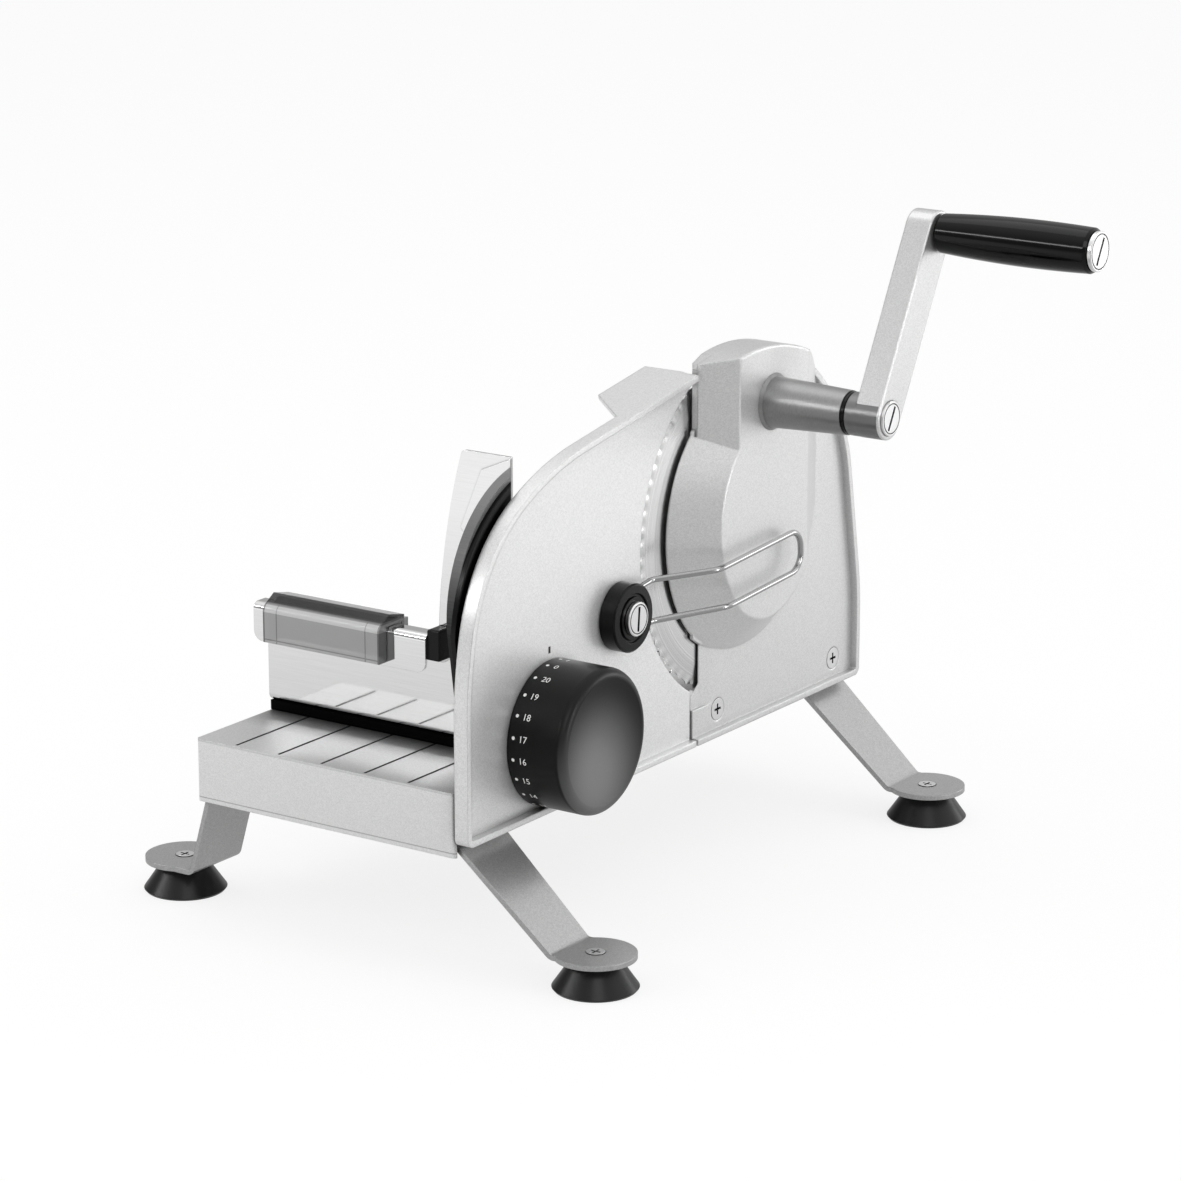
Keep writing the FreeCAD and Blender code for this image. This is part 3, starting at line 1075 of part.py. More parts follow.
def make_setting_parts():
    """Guide rods, guide blocks, knob bolt and follower."""
    for name, x in zip(("left", "right"), ROD_PLACES):
        save("guide_rod_" + name, rod(x, ROD_Z, ROD_RADIUS, PLATE_BACK_Y, PLATE_BACK_Y + ROD_LENGTH))
        near = TABLE_NEAR_Y + SHEET
        block = box(x - GUIDE_WIDTH / 2, x + GUIDE_WIDTH / 2, near, near + GUIDE_LENGTH, ROD_Z - 8.0,
                    TABLE_TOP_Z - SHEET)
        save("guide_block_" + name, block.cut(rod(x, ROD_Z, ROD_RADIUS + RUNNING_GAP, near - 1,
                                                  near + GUIDE_LENGTH + 1)))
    back = PLATE_FACE_Y - KNOB_BACK_GAP
    shank = rod(KNOB_X, KNOB_Z, KNOB_BOLT_RADIUS, back - 14.5, PLATE_BACK_Y - 2.9)
    head = cone(KNOB_X, KNOB_Z, KNOB_BOLT_RADIUS, KNOB_BOLT_HEAD, PLATE_FACE_Y + 0.6, PLATE_BACK_Y)
    save("knob_bolt", fuse([shank, head]))
    save("cam_follower", make_follower())


def make_deflector():
    """Round base, wire bail and pivot screw that guide the slices."""
    x = DEFLECTOR_X
    z = DEFLECTOR_Z
    seat = PLATE_FACE_Y - DEFLECTOR_GAP
    face = seat - DEFLECTOR_BASE_HEIGHT
    ring_out = DEFLECTOR_RING_RADIUS
    base = turned([
        (4.0 + RUNNING_GAP, seat), (4.0 + RUNNING_GAP, face - 0.4), (ring_out - 1.8, face - 0.4),
        (ring_out - 1.4, face + 0.8), (ring_out - 0.6, face + 0.8), (ring_out, face - 0.2),
        (DEFLECTOR_BASE_RADIUS - 0.8, face), (DEFLECTOR_BASE_RADIUS, face + 0.8),
        (DEFLECTOR_BASE_RADIUS, seat),
    ], x, z)
    wire_y = seat - 0.55 * DEFLECTOR_BASE_HEIGHT
    half = WIRE_SPREAD / 2
    route = []
    for side, kink_run in ((1, WIRE_UPPER_KINK), (-1, WIRE_LOWER_KINK)):
        start = (8.0, side * half * 0.92, wire_y)
        leave = (WIRE_LEAVE, side * half, wire_y)
        kink = (kink_run, side * half, PLATE_FRONT_Y - WIRE_STAND_OFF)
        corner = (WIRE_REACH, side * half, PLATE_FRONT_Y - WIRE_STAND_OFF)
        leg = [start, leave, kink, corner]
        route = leg if side == 1 else route + leg[::-1]
    tilt = math.radians(WIRE_TILT)
    points = []
    for along, across, y in route:
        px = along * math.cos(tilt) - across * math.sin(tilt)
        pz = along * math.sin(tilt) + across * math.cos(tilt)
        points.append(V(x + px, y, z + pz + WIRE_RISE))
    wire = round_wire(points, WIRE_RADIUS, [6.0, 14.0, WIRE_BEND, WIRE_BEND, 14.0, 6.0])
    save("deflector_base", base.cut(wire))
    save("deflector_wire", wire)
    screw = fuse([
        make_button(x, z, DEFLECTOR_BUTTON_RADIUS, face - 0.7, 2.2, 4.0, seat - face + 0.7, 5.0),
        rod(x, z, DEFLECTOR_PIVOT_RADIUS, seat, PLATE_BACK_Y - 0.6),
    ])
    save("deflector_screw", screw)


def round_wire(points, radius, bends):
    """A round bar along straight runs joined by arcs."""
    edges = []
    at = points[0]
    for i in range(1, len(points) - 1):
        before = (points[i] - points[i - 1]).normalize()
        after = (points[i + 1] - points[i]).normalize()
        turn = before.getAngle(after)
        reach = bends[i - 1] * math.tan(turn / 2)
        first = points[i] - before * reach
        last = points[i] + after * reach
        inward = (after - before).normalize()
        centre = points[i] + inward * (bends[i - 1] / math.cos(turn / 2))
        middle = centre - inward * bends[i - 1]
        edges.append(Part.makeLine(at, first))
        edges.append(Part.Arc(first, middle, last).toShape())
        at = last
    edges.append(Part.makeLine(at, points[-1]))
    start = points[0]
    section = Part.Face(Part.Wire(Part.makeCircle(radius, start, points[1] - start)))
    return Part.Wire(edges).makePipe(section)


def guard_end_cut():
    """What the slanted end of the thumb guard leaves off, as a block."""
    slope = math.tan(math.radians(GUARD_END_ANGLE))
    back = PLATE_BACK_Y + GUARD_GAP + LINER_THICKNESS + GUARD_THICKNESS
    near = PLATE_BACK_Y - 2.0
    corner = WALL_X + 0.4
    plan = [(corner, back), (corner - (back - near) / slope, near), (corner + 30, near), (corner + 30, back)]
    points = [V(x, y, FLOOR_Z + SHEET + 2.0) for x, y in plan]
    return Part.Face(Part.makePolygon(points + [points[0]])).extrude(V(0, 0, FIN_TOP_Z - FLOOR_Z))


def guard_plate(curve, y0, y1):
    """A plate of the thumb guard, with one long curved edge."""
    start, middle, end = [(PLATE_LEFT_X + px, pz) for px, pz in curve]
    line = Outline(start[0], start[1], 90)
    line.arc(middle, end)
    line.to(WALL_X + SHEET, end[1])
    line.to(WALL_X + SHEET, GUARD_FOOT_Z)
    line.to(start[0] + GUARD_FOOT_INSET, GUARD_FOOT_Z)
    return slab(line.close(), y0, y1).cut(guard_end_cut())


def make_carriage():
    """The sliding carriage: floor, pushing wall with a folded lip, fin and thumb guard."""
    near = PLATE_BACK_Y + GUARD_GAP
    panel_y = near + LINER_THICKNESS
    wall_y = panel_y + GUARD_THICKNESS
    far = TABLE_FAR_Y + CARRIAGE_OVERHANG
    lip_y = PLATE_FRONT_Y + LIP_START
    half = SHEET / 2
    corners = [
        (WALL_X + FLOOR_LENGTH, FLOOR_Z + half),
        (WALL_X + half, FLOOR_Z + half),
        (WALL_X + half, WALL_TOP_Z - half),
        (WALL_X - LIP_REACH + half, WALL_TOP_Z - half),
        (WALL_X - LIP_REACH + half, WALL_TOP_Z - LIP_DROP),
    ]
    profile = bent_strip(corners, SHEET, SHEET_BEND, lambda u, v: V(u, 0, v))
    folded = profile.extrude(V(0, far - wall_y + SHEET, 0))
    folded.translate(V(0, wall_y - SHEET, 0))
    lip_cut = box(WALL_X - LIP_REACH - 2, WALL_X, panel_y, lip_y, FLOOR_Z + 5, WALL_TOP_Z + 2)
    top_cut = box(WALL_X - 1, WALL_X + 3, panel_y, lip_y, WALL_TOP_Z - 4, WALL_TOP_Z + 2)
    folded = folded.cut([lip_cut, top_cut])
    corner_cuts = []
    for y, step in ((lip_y, 1), (far, -1)):
        z0 = WALL_TOP_Z - LIP_DROP
        square = box(WALL_X - LIP_REACH - 1, WALL_X - LIP_REACH + SHEET + 1,
                     min(y - step, y + step * LIP_CORNER), max(y - step, y + step * LIP_CORNER),
                     z0 - 1, z0 + LIP_CORNER)
        bar = Part.makeCylinder(LIP_CORNER, 10,
                                V(WALL_X - LIP_REACH - 3, y + step * LIP_CORNER, z0 + LIP_CORNER), V(1, 0, 0))
        corner_cuts.append(square.cut(bar))
    folded = folded.cut(corner_cuts)
    fin_foot = (lip_y, WALL_TOP_Z - 6.0)
    fin_head = (wall_y + FIN_TOP_WIDTH, FIN_TOP_Z)
    bow = Part.Arc(V(WALL_X, fin_foot[0], fin_foot[1]), V(WALL_X, wall_y + FIN_MIDDLE[0], FIN_MIDDLE[1]),
                   V(WALL_X, fin_head[0], fin_head[1])).toShape()
    rest = Part.makePolygon([
        V(WALL_X, fin_head[0], fin_head[1]), V(WALL_X, wall_y - SHEET, FIN_TOP_Z),
        V(WALL_X, wall_y - SHEET, FLOOR_Z + 3), V(WALL_X, lip_y, FLOOR_Z + 3),
        V(WALL_X, fin_foot[0], fin_foot[1]),
    ])
    fin = Part.Face(Part.Wire([bow] + rest.Edges)).extrude(V(SHEET, 0, 0))
    top_corner = [e for e in fin.Edges if abs(e.Vertexes[0].Z - FIN_TOP_Z) < 1e-6
                  and abs(e.Vertexes[-1].Z - FIN_TOP_Z) < 1e-6 and abs(e.Vertexes[0].Y - fin_head[0]) < 1e-6
                  and abs(e.Vertexes[-1].Y - fin_head[0]) < 1e-6]
    fin = fin.makeFillet(FIN_CORNER, top_corner)
    facet_points = [V(WALL_X - FACET_HEIGHT, wall_y + u, v) for u, v in FACET_CORNERS]
    facet = Part.Face(Part.makePolygon(facet_points + [facet_points[0]]))
    facet = facet.extrude(V(FACET_HEIGHT + half, 0, 0))
    panel = guard_plate(GUARD_CURVE, panel_y, wall_y)
    near_floor = box(WALL_X + 4, WALL_X + FLOOR_LENGTH, near, wall_y, FLOOR_Z, FLOOR_Z + SHEET)
    carriage = fuse([folded.cut(guard_end_cut()), fin.cut(guard_end_cut()), facet, panel, near_floor])
    slider_y = PLATE_FRONT_Y + SLIDER_Y
    holes = []
    for share in (0.25, 0.75):
        hx = WALL_X + SLIDER_START + share * SLIDER_LENGTH
        holes.append(post(hx, slider_y, 1.5, FLOOR_Z - 1, FLOOR_Z + 3))
        holes.append(Part.makeCone(1.5, 2.8, 1.3, V(hx, slider_y, FLOOR_Z + SHEET - 1.3), V(0, 0, 1)))
    return carriage.cut(holes)


def make_carriage_parts():
    """Liner, end block, runners, slider and slider screws of the carriage."""
    near = PLATE_BACK_Y + GUARD_GAP
    save("guard_liner", guard_plate(LINER_CURVE, near, near + LINER_THICKNESS))
    lip_y = PLATE_FRONT_Y + LIP_START
    left = WALL_X - LIP_REACH + SHEET + 0.05
    right = WALL_X - 0.05
    foot = WALL_TOP_Z - END_BLOCK_HEIGHT
    plug = box(left, right, lip_y - END_BLOCK_STAND, lip_y + END_BLOCK_REACH, foot, WALL_TOP_Z - SHEET - 0.05)
    long_edges = [e for e in plug.Edges
                  if abs(e.Vertexes[0].Y - e.Vertexes[1].Y) > 1 and e.Vertexes[0].Z > foot + 1]
    plug = plug.makeFillet(SHEET_BEND - SHEET / 2 + 0.2, long_edges)
    cap = box(left, right, lip_y - END_BLOCK_STAND, lip_y - 0.1, foot, WALL_TOP_Z + END_BLOCK_RISE)
    cap = cap.makeFillet(1.2, [e for e in cap.Edges if min(v.Z for v in e.Vertexes) > foot + 1])
    save("lip_end_block", fuse([plug, cap]))
    far = TABLE_FAR_Y + CARRIAGE_OVERHANG
    runners = []
    for x in (WALL_X + RUNNER_INSET, WALL_X + FLOOR_LENGTH - RUNNER_INSET - RUNNER_WIDTH):
        runners.append(box(x, x + RUNNER_WIDTH, near + 0.5, far - 0.5, TABLE_TOP_Z + SLIDER_GAP, FLOOR_Z))
    save("carriage_runners", Part.makeCompound(runners))
    slider_x = WALL_X + SLIDER_START
    slider_y = PLATE_FRONT_Y + SLIDER_Y
    upper = box(slider_x, slider_x + SLIDER_LENGTH, slider_y - SLIDER_FOOT / 2, slider_y + SLIDER_FOOT / 2,
                TABLE_TOP_Z + SLIDER_GAP, FLOOR_Z)
    stem = box(slider_x, slider_x + SLIDER_LENGTH, slider_y - SLIDER_STEM / 2, slider_y + SLIDER_STEM / 2,
               TABLE_TOP_Z - SHEET - 1, TABLE_TOP_Z + 1)
    lower = box(slider_x, slider_x + SLIDER_LENGTH, slider_y - SLIDER_FOOT / 2, slider_y + SLIDER_FOOT / 2,
                TABLE_TOP_Z - SHEET - SLIDER_GAP - 3.0, TABLE_TOP_Z - SHEET - SLIDER_GAP)
    slider = fuse([upper, stem, lower])
    screws = []
    for share in (0.25, 0.75):
        hx = slider_x + share * SLIDER_LENGTH
        slider = slider.cut(post(hx, slider_y, 1.5, TABLE_TOP_Z - 1, FLOOR_Z + 1))
        shank = post(hx, slider_y, 1.5, TABLE_TOP_Z - 1, FLOOR_Z + SHEET - 1.3)
        head = Part.makeCone(1.5, 2.8, 1.3, V(hx, slider_y, FLOOR_Z + SHEET - 1.3), V(0, 0, 1))
        screws.append(fuse([shank, head]))
    save("carriage_slider", slider)
    save("slider_screws", Part.makeCompound(screws))


def sleeve_outline(inset, foot):
    """The sleeve's section: upright front, rounded front corner, a low ridge and an upright back."""
    front = WALL_X - LIP_REACH - SLEEVE_FRONT_ROOM + inset
    back = WALL_X + SHEET + SLEEVE_GAP + SLEEVE_WALL - inset
    top = WALL_TOP_Z - inset
    line = Outline(front, foot, 90)
    line.to(front, top - 1.9)
    line.arc((front + 0.8, top + 0.6), (front + 2.6, top + 2.1))
    line.to(front + 8.5 - inset, top + SLEEVE_RIDGE)
    line.to(back, top + SLEEVE_RIDGE - 2.4)
    line.to(back, foot)
    return line.close()


def make_holder():
    """The remnant holder: a clear sleeve over the carriage lip, and a spiked pressing plate."""
    start = PLATE_FRONT_Y + SLEEVE_START
    end = start + SLEEVE_LENGTH
    right = WALL_X + SHEET + SLEEVE_GAP + SLEEVE_WALL
    foot = WALL_TOP_Z - SLEEVE_DEPTH
    shell = slab(sleeve_outline(0.0, foot), start, end)
    room = slab(sleeve_outline(SLEEVE_WALL, foot - 1), start + SLEEVE_COLLAR, end - SLEEVE_COLLAR)
    mouth = box(WALL_X - LIP_REACH - SLEEVE_GAP, WALL_X + SHEET + SLEEVE_GAP, start - 1, end + 1, foot - 1,
                WALL_TOP_Z + SLEEVE_GAP)
    save("holder_sleeve", shell.cut([room, mouth]))
    plate_y = start + 4.0
    z0 = FLOOR_Z + SHEET + 3.0
    z1 = z0 + HOLDER_HEIGHT
    plate = box(right, right + HOLDER_WIDTH, plate_y, plate_y + HOLDER_THICKNESS, z0, z1)
    upright = [e for e in plate.Edges if abs(e.Vertexes[0].Y - e.Vertexes[1].Y) > 1]
    plate = plate.makeFillet(3.0, upright)
    foot_block = box(right, right + 3.0, start, end, foot, WALL_TOP_Z + 1.4)
    pieces = [plate, foot_block]
    for column in range(SPIKE_COLUMNS):
        for row in range(SPIKE_ROWS):
            sx = right + (column + 0.75) * HOLDER_WIDTH / (SPIKE_COLUMNS + 0.5)
            sz = z0 + (row + 0.75) * HOLDER_HEIGHT / (SPIKE_ROWS + 0.5)
            pieces.append(make_spike(sx, plate_y, sz))
    save("holder_plate", fuse(pieces))


def make_spike(x, y, z):
    """A square spike that points along -Y from its base at y."""
    wires = []
    for half, at in ((SPIKE_BASE / 2, y), (SPIKE_TIP / 2, y - SPIKE_HEIGHT)):
        corners = [V(x - half, at, z - half), V(x + half, at, z - half), V(x + half, at, z + half),
                   V(x - half, at, z + half), V(x - half, at, z - half)]
        wires.append(Part.makePolygon(corners))
    return Part.makeLoft(wires, True, True)


def make_case_fasteners():
    """Countersunk screws of the gear case and their nuts."""
    screws = []
    nuts = []
    for position in CASE_SCREW_POSITIONS:
        x = CASE_LEFT_X + position
        z = CASE_SCREW_Z
        end = TABLE_NEAR_Y + SHEET + NUT_HEIGHT + 1.5
        shank = rod(x, z, CASE_SCREW_RADIUS, CASE_FACE_Y + CASE_SCREW_SINK, end)
        head = cone(x, z, CASE_SCREW_HEAD, CASE_SCREW_RADIUS, CASE_FACE_Y, CASE_FACE_Y + CASE_SCREW_SINK)
        for cross in (box(x - 2.8, x + 2.8, CASE_FACE_Y - 1, CASE_FACE_Y + 1.6, z - 0.6, z + 0.6),
                      box(x - 0.6, x + 0.6, CASE_FACE_Y - 1, CASE_FACE_Y + 1.6, z - 2.8, z + 2.8)):
            head = head.cut(cross)
        screws.append(fuse([shank, head]))
        corners = []
        for i in range(6):
            a = math.radians(60 * i)
            reach = NUT_HALF_WIDTH / math.cos(math.radians(30))
            corners.append(V(x + reach * math.cos(a), TABLE_NEAR_Y + SHEET, z + reach * math.sin(a)))
        nut = Part.Face(Part.makePolygon(corners + [corners[0]])).extrude(V(0, NUT_HEIGHT, 0))
        nuts.append(nut.cut(rod(x, z, CASE_SCREW_RADIUS, TABLE_NEAR_Y, end + 1)))
    save("case_screws", Part.makeCompound(screws))
    save("case_nuts", Part.makeCompound(nuts))


os.makedirs("parts", exist_ok=True)
make_feet()
save("leg_bracket_left", make_leg_bracket(LEG_LEFT_X))
save("leg_bracket_right", make_leg_bracket(LEG_RIGHT_X))
save("table", make_table())
save("stop_plate", make_stop_plate())
save("gear_case", make_gear_case())
save("blade", make_blade())
save("blade_gear", make_blade_gear())
make_blade_mount()
save("bearing_tube", make_bearing_tube())
make_crank()
save("thickness_knob", make_knob())
make_setting_parts()
make_deflector()
save("carriage", make_carriage())
make_carriage_parts()
make_holder()
make_case_fasteners()
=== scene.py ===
import math

import bpy
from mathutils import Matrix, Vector


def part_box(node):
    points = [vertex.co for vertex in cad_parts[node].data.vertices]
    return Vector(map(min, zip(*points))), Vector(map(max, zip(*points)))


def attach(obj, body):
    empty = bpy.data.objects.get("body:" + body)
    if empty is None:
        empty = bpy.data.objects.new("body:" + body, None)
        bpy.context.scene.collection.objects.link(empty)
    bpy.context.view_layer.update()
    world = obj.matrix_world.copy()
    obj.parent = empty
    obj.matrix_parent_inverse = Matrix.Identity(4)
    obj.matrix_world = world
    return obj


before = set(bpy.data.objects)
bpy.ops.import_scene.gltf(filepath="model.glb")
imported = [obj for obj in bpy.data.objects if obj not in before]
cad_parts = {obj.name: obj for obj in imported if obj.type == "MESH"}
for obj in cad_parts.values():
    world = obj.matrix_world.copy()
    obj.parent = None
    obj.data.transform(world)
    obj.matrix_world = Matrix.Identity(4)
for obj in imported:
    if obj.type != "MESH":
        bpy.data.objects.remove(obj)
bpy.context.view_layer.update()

MM = 0.001
WHITE = (1.0, 1.0, 1.0, 1.0)
BLACK = (0.0, 0.0, 0.0, 1.0)


def middle(name):
    """The middle of a node's box."""
    low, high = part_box(name)
    return (low + high) / 2


# Places that the looks are tied to, from the frame
BLADE_AXIS = middle("blade")
KNOB_AXIS = middle("knob_bolt")
KNOB_FRONT_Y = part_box("thickness_knob")[0].y
KNOB_BACK_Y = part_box("thickness_knob")[1].y
CRANK_AXIS = middle("crank_screw")
ARM_FRONT_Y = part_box("crank_arm")[0].y
PUSHING_WALL_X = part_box("carriage_runners")[0].x - 0.4 * MM
GUARD_BACK_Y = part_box("guard_liner")[1].y + 5.2 * MM
SLEEVE_FOOT_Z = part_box("holder_sleeve")[0].z
SLEEVE_TOP_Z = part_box("holder_sleeve")[1].z
SLEEVE_MIDDLE_Y = middle("holder_sleeve").y
SLEEVE_HALF_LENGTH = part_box("holder_sleeve")[1].y - SLEEVE_MIDDLE_Y
TABLE_TOP_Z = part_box("table")[1].z
TABLE_FOOT_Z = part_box("table")[0].z
PLATE_FACE_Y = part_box("stop_plate")[0].y + 4.0 * MM

# Sizes of the looks
WAVE_COUNT = 70
WAVE_INNER_RADIUS = 80.0 * MM
WAVE_FULL_RADIUS = 84.0 * MM
HUB_RADIUS = 10.85 * MM
HUB_BEHIND_ARM_FRONT = 1.2 * MM
TABLE_SHEET = 1.2 * MM
HEM_HEIGHT = 2.2 * MM
CREASE_HALF_WIDTH = 0.25 * MM

# The painted sheen in the knob's dish: its brightest point, how far it reaches, and the depths between
# which the rim round the dish ends it
DISH_GLOW = Vector((KNOB_AXIS.x - 5.0 * MM, KNOB_FRONT_Y, KNOB_AXIS.z - 13.0 * MM))
DISH_GLOW_INNER = 4.0 * MM
DISH_GLOW_OUTER = 42.0 * MM
DISH_START = 2.6 * MM
DISH_END = 3.4 * MM

# Painted shade on the thumb guard's edge: dark at one height, and paler up to the other
GUARD_DARK_Z = 165.0 * MM
GUARD_PALE_Z = 222.0 * MM
GUARD_BEFORE_WALL = 0.7 * MM
GUARD_STREAKS = 20.0 * MM

# The smoky sleeve: the thick top in painted shade, the pale band below it as a painted highlight, the end
# faces, and the lines of the ribs and brim
SLEEVE_TOP_START = 4.2 * MM
SLEEVE_TOP_FULL = 3.2 * MM
BROW_BELOW_TOP = 5.9 * MM
BROW_HALF_WIDTH = 1.7 * MM
SLEEVE_END_THICKNESS = 0.9 * MM
RIB_FROM_END = 8.0 * MM
BRIM_ABOVE_FOOT = 1.6 * MM
MOULD_LINE_HALF_WIDTH = 0.3 * MM


def linear(colour):
    """An sRGB hex colour as linear red, green, blue and alpha."""
    parts = []
    for i in (1, 3, 5):
        value = int(colour[i:i + 2], 16) / 255
        parts.append(value / 12.92 if value <= 0.04045 else ((value + 0.055) / 1.055) ** 2.4)
    return (*parts, 1.0)


def pick(sockets, key):
    """The socket with this name or number, among those that the node's settings leave in use."""
    in_use = [socket for socket in sockets if socket.enabled]
    if isinstance(key, int):
        return in_use[key]
    return next(socket for socket in in_use if socket.name == key)


def add(tree, kind, inputs=None, out=0, **settings):
    """Adds a node, sets its properties, sets or links its inputs, and gives one of its outputs.

    With None for the output it gives the node.
    """
    node = tree.nodes.new(kind)
    for name, value in settings.items():
        setattr(node, name, value)
    for key, value in (inputs or {}).items():
        socket = pick(node.inputs, key)
        if isinstance(value, bpy.types.NodeSocket):
            tree.links.new(value, socket)
        else:
            socket.default_value = value
    return node if out is None else pick(node.outputs, out)


def per_metre(size_mm):
    """The texture scale whose features have this size."""
    return 1.0 / (size_mm * MM)


def start_material(name):
    """A new material with an empty node tree, and its object coordinates."""
    material = bpy.data.materials.new(name)
    material.use_nodes = True
    tree = material.node_tree
    tree.nodes.clear()
    return material, tree, add(tree, "ShaderNodeTexCoord", out="Object")


def end_material(material, tree, shader):
    """Gives the material its surface."""
    add(tree, "ShaderNodeOutputMaterial", {"Surface": shader}, out=None)
    return material


def open_parts(tree, colour, reach_mm, darkest=0.3, bend=1.0, alone=False):
    """A colour that goes dark in corners, slots and gaps: painted shade, where less light reaches."""
    openness = add(tree, "ShaderNodeAmbientOcclusion", {"Distance": reach_mm * MM}, out="AO", samples=6,
                   only_local=alone)
    bent = add(tree, "ShaderNodeMath", {0: openness, 1: bend}, operation="POWER")
    light = add(tree, "ShaderNodeMapRange", {"Value": bent, "To Min": darkest})
    return add(tree, "ShaderNodeMix", {"Factor": light, "A": BLACK, "B": colour}, data_type="RGBA")


def relief(tree, height, strength, depth_mm, rounding_mm):
    """Normals with this relief, and with sharp edges rounded off, so that each catches a line of light."""
    rounded = add(tree, "ShaderNodeBevel", {"Radius": rounding_mm * MM}, samples=4)
    return add(tree, "ShaderNodeBump", {
        "Height": height, "Strength": strength, "Distance": depth_mm * MM, "Normal": rounded})


def from_axis(tree, place, axis):
    """The offset from an axis that runs along Y through this point, and its length."""
    centred = add(tree, "ShaderNodeMapping", {"Vector": place, "Location": tuple(-axis)})
    offset = add(tree, "ShaderNodeVectorMath", {0: centred, 1: (1.0, 0.0, 1.0)}, operation="MULTIPLY")
    return offset, add(tree, "ShaderNodeVectorMath", {0: offset}, operation="LENGTH")


def pale_skirts(tree, place, sparkle, colour):
    """Painted light: a paler colour below the table's top, because its folded skirts hang in the light."""
    height = add(tree, "ShaderNodeSeparateXYZ", {"Vector": place}, out="Z")
    below = add(tree, "ShaderNodeMath", {0: height, 1: TABLE_TOP_Z - TABLE_SHEET}, operation="LESS_THAN")
    # Painted light: paler colours for the skirts than for the top
    skirt = add(tree, "ShaderNodeMix", {
        "Factor": sparkle, "A": linear("#DDDDDD"), "B": linear("#EDEDED")}, data_type="RGBA")
    return add(tree, "ShaderNodeMix", {"Factor": below, "A": colour, "B": skirt}, data_type="RGBA")


def hem_crease(tree, place, colour):
    """Painted shade: a fine dark line along the foot of the skirts, where the sheet is folded inwards."""
    height = add(tree, "ShaderNodeSeparateXYZ", {"Vector": place}, out="Z")
    line = add(tree, "ShaderNodeMath", {
        0: height, 1: TABLE_FOOT_Z + HEM_HEIGHT, 2: CREASE_HALF_WIDTH}, operation="COMPARE")
    faint = add(tree, "ShaderNodeMapRange", {"Value": line, "To Max": 0.45})
    return add(tree, "ShaderNodeMix", {
        "Factor": faint, "A": colour, "B": linear("#3A3A3A")}, data_type="RGBA")


def turned_hub(tree, place, colour):
    """Painted shade: the hub behind the crank arm drawn darker than the enamel, for its dark reflection."""
    _, radius = from_axis(tree, place, CRANK_AXIS)
    near = add(tree, "ShaderNodeMath", {0: radius, 1: HUB_RADIUS}, operation="LESS_THAN")
    depth = add(tree, "ShaderNodeSeparateXYZ", {"Vector": place}, out="Y")
    behind = add(tree, "ShaderNodeMath", {
        0: depth, 1: ARM_FRONT_Y + HUB_BEHIND_ARM_FRONT}, operation="GREATER_THAN")
    both = add(tree, "ShaderNodeMath", {0: near, 1: behind}, operation="MULTIPLY")
    return add(tree, "ShaderNodeMix", {
        "Factor": both, "A": colour, "B": linear("#7E7E7E")}, data_type="RGBA")


def silver_paint(name, light, dark, roughness, metallic=0.75, rounding_mm=1.2, reach_mm=4.0, darkest=0.3,
                 bend=1.0, folded=False, hub=False):
    """Silver stove enamel on cast aluminium or steel: metal flakes in a satin film, with a faint orange peel.

    Real flakes are some 0.05 mm across, and are drawn at 0.45 mm so that they show.
    """
    material, tree, place = start_material(name)
    flakes = add(tree, "ShaderNodeTexVoronoi", {"Vector": place, "Scale": per_metre(0.45)}, out="Color")
    sparkle = add(tree, "ShaderNodeSeparateColor", {"Color": flakes})
    cloud = add(tree, "ShaderNodeTexNoise", {"Vector": place, "Scale": per_metre(60), "Detail": 2.0})
    peel = add(tree, "ShaderNodeTexNoise", {"Vector": place, "Scale": per_metre(0.8), "Detail": 3.0})
    colour = add(tree, "ShaderNodeMix", {
        "Factor": sparkle, "A": linear(dark), "B": linear(light)}, data_type="RGBA")
    # Painted light on the skirts
    if folded:
        colour = pale_skirts(tree, place, sparkle, colour)
    # Painted shade in corners, slots and gaps
    colour = open_parts(tree, colour, reach_mm, darkest, bend)
    # Painted shade along the hem
    if folded:
        colour = hem_crease(tree, place, colour)
    # Painted shade on the hub behind the arm
    if hub:
        colour = turned_hub(tree, place, colour)
    shader = add(tree, "ShaderNodeBsdfPrincipled", {
        "Base Color": colour,
        "Metallic": metallic,
        "Roughness": add(tree, "ShaderNodeMapRange", {
            "Value": cloud, "To Min": roughness - 0.02, "To Max": roughness + 0.03}),
        "Normal": relief(tree, peel, 0.25, 0.02, rounding_mm),
    })
    return end_material(material, tree, shader)


def brushed_metal(name, light, dark, roughness, grain_mm, stretch, depth_mm, black_shaded_slots=False):
    """Rolled, ground or turned metal: fine scratches, long where the pattern is stretched.

    The scratches are drawn some ten times as wide as real ones, so that they show.
    """
    material, tree, place = start_material(name)
    stretched = add(tree, "ShaderNodeMapping", {"Vector": place, "Scale": stretch})
    lines = add(tree, "ShaderNodeTexNoise", {
        "Vector": stretched, "Scale": per_metre(grain_mm), "Detail": 4.0})
    cloud = add(tree, "ShaderNodeTexNoise", {"Vector": place, "Scale": per_metre(30), "Detail": 2.0})
    colour = add(tree, "ShaderNodeMix", {
        "Factor": lines, "A": linear(dark), "B": linear(light)}, data_type="RGBA")
    # Painted shade: near black in the slots, and dark in other corners and gaps
    if black_shaded_slots:
        colour = open_parts(tree, colour, 2.2, darkest=0.01, bend=2.5, alone=True)
    else:
        colour = open_parts(tree, colour, 3.0)
    shader = add(tree, "ShaderNodeBsdfPrincipled", {
        "Base Color": colour,
        "Metallic": 1.0,
        "Roughness": add(tree, "ShaderNodeMapRange", {
            "Value": cloud, "To Min": roughness - 0.02, "To Max": roughness + 0.03}),
        "Normal": relief(tree, lines, 0.3, depth_mm, 0.3),
    })
    return end_material(material, tree, shader)


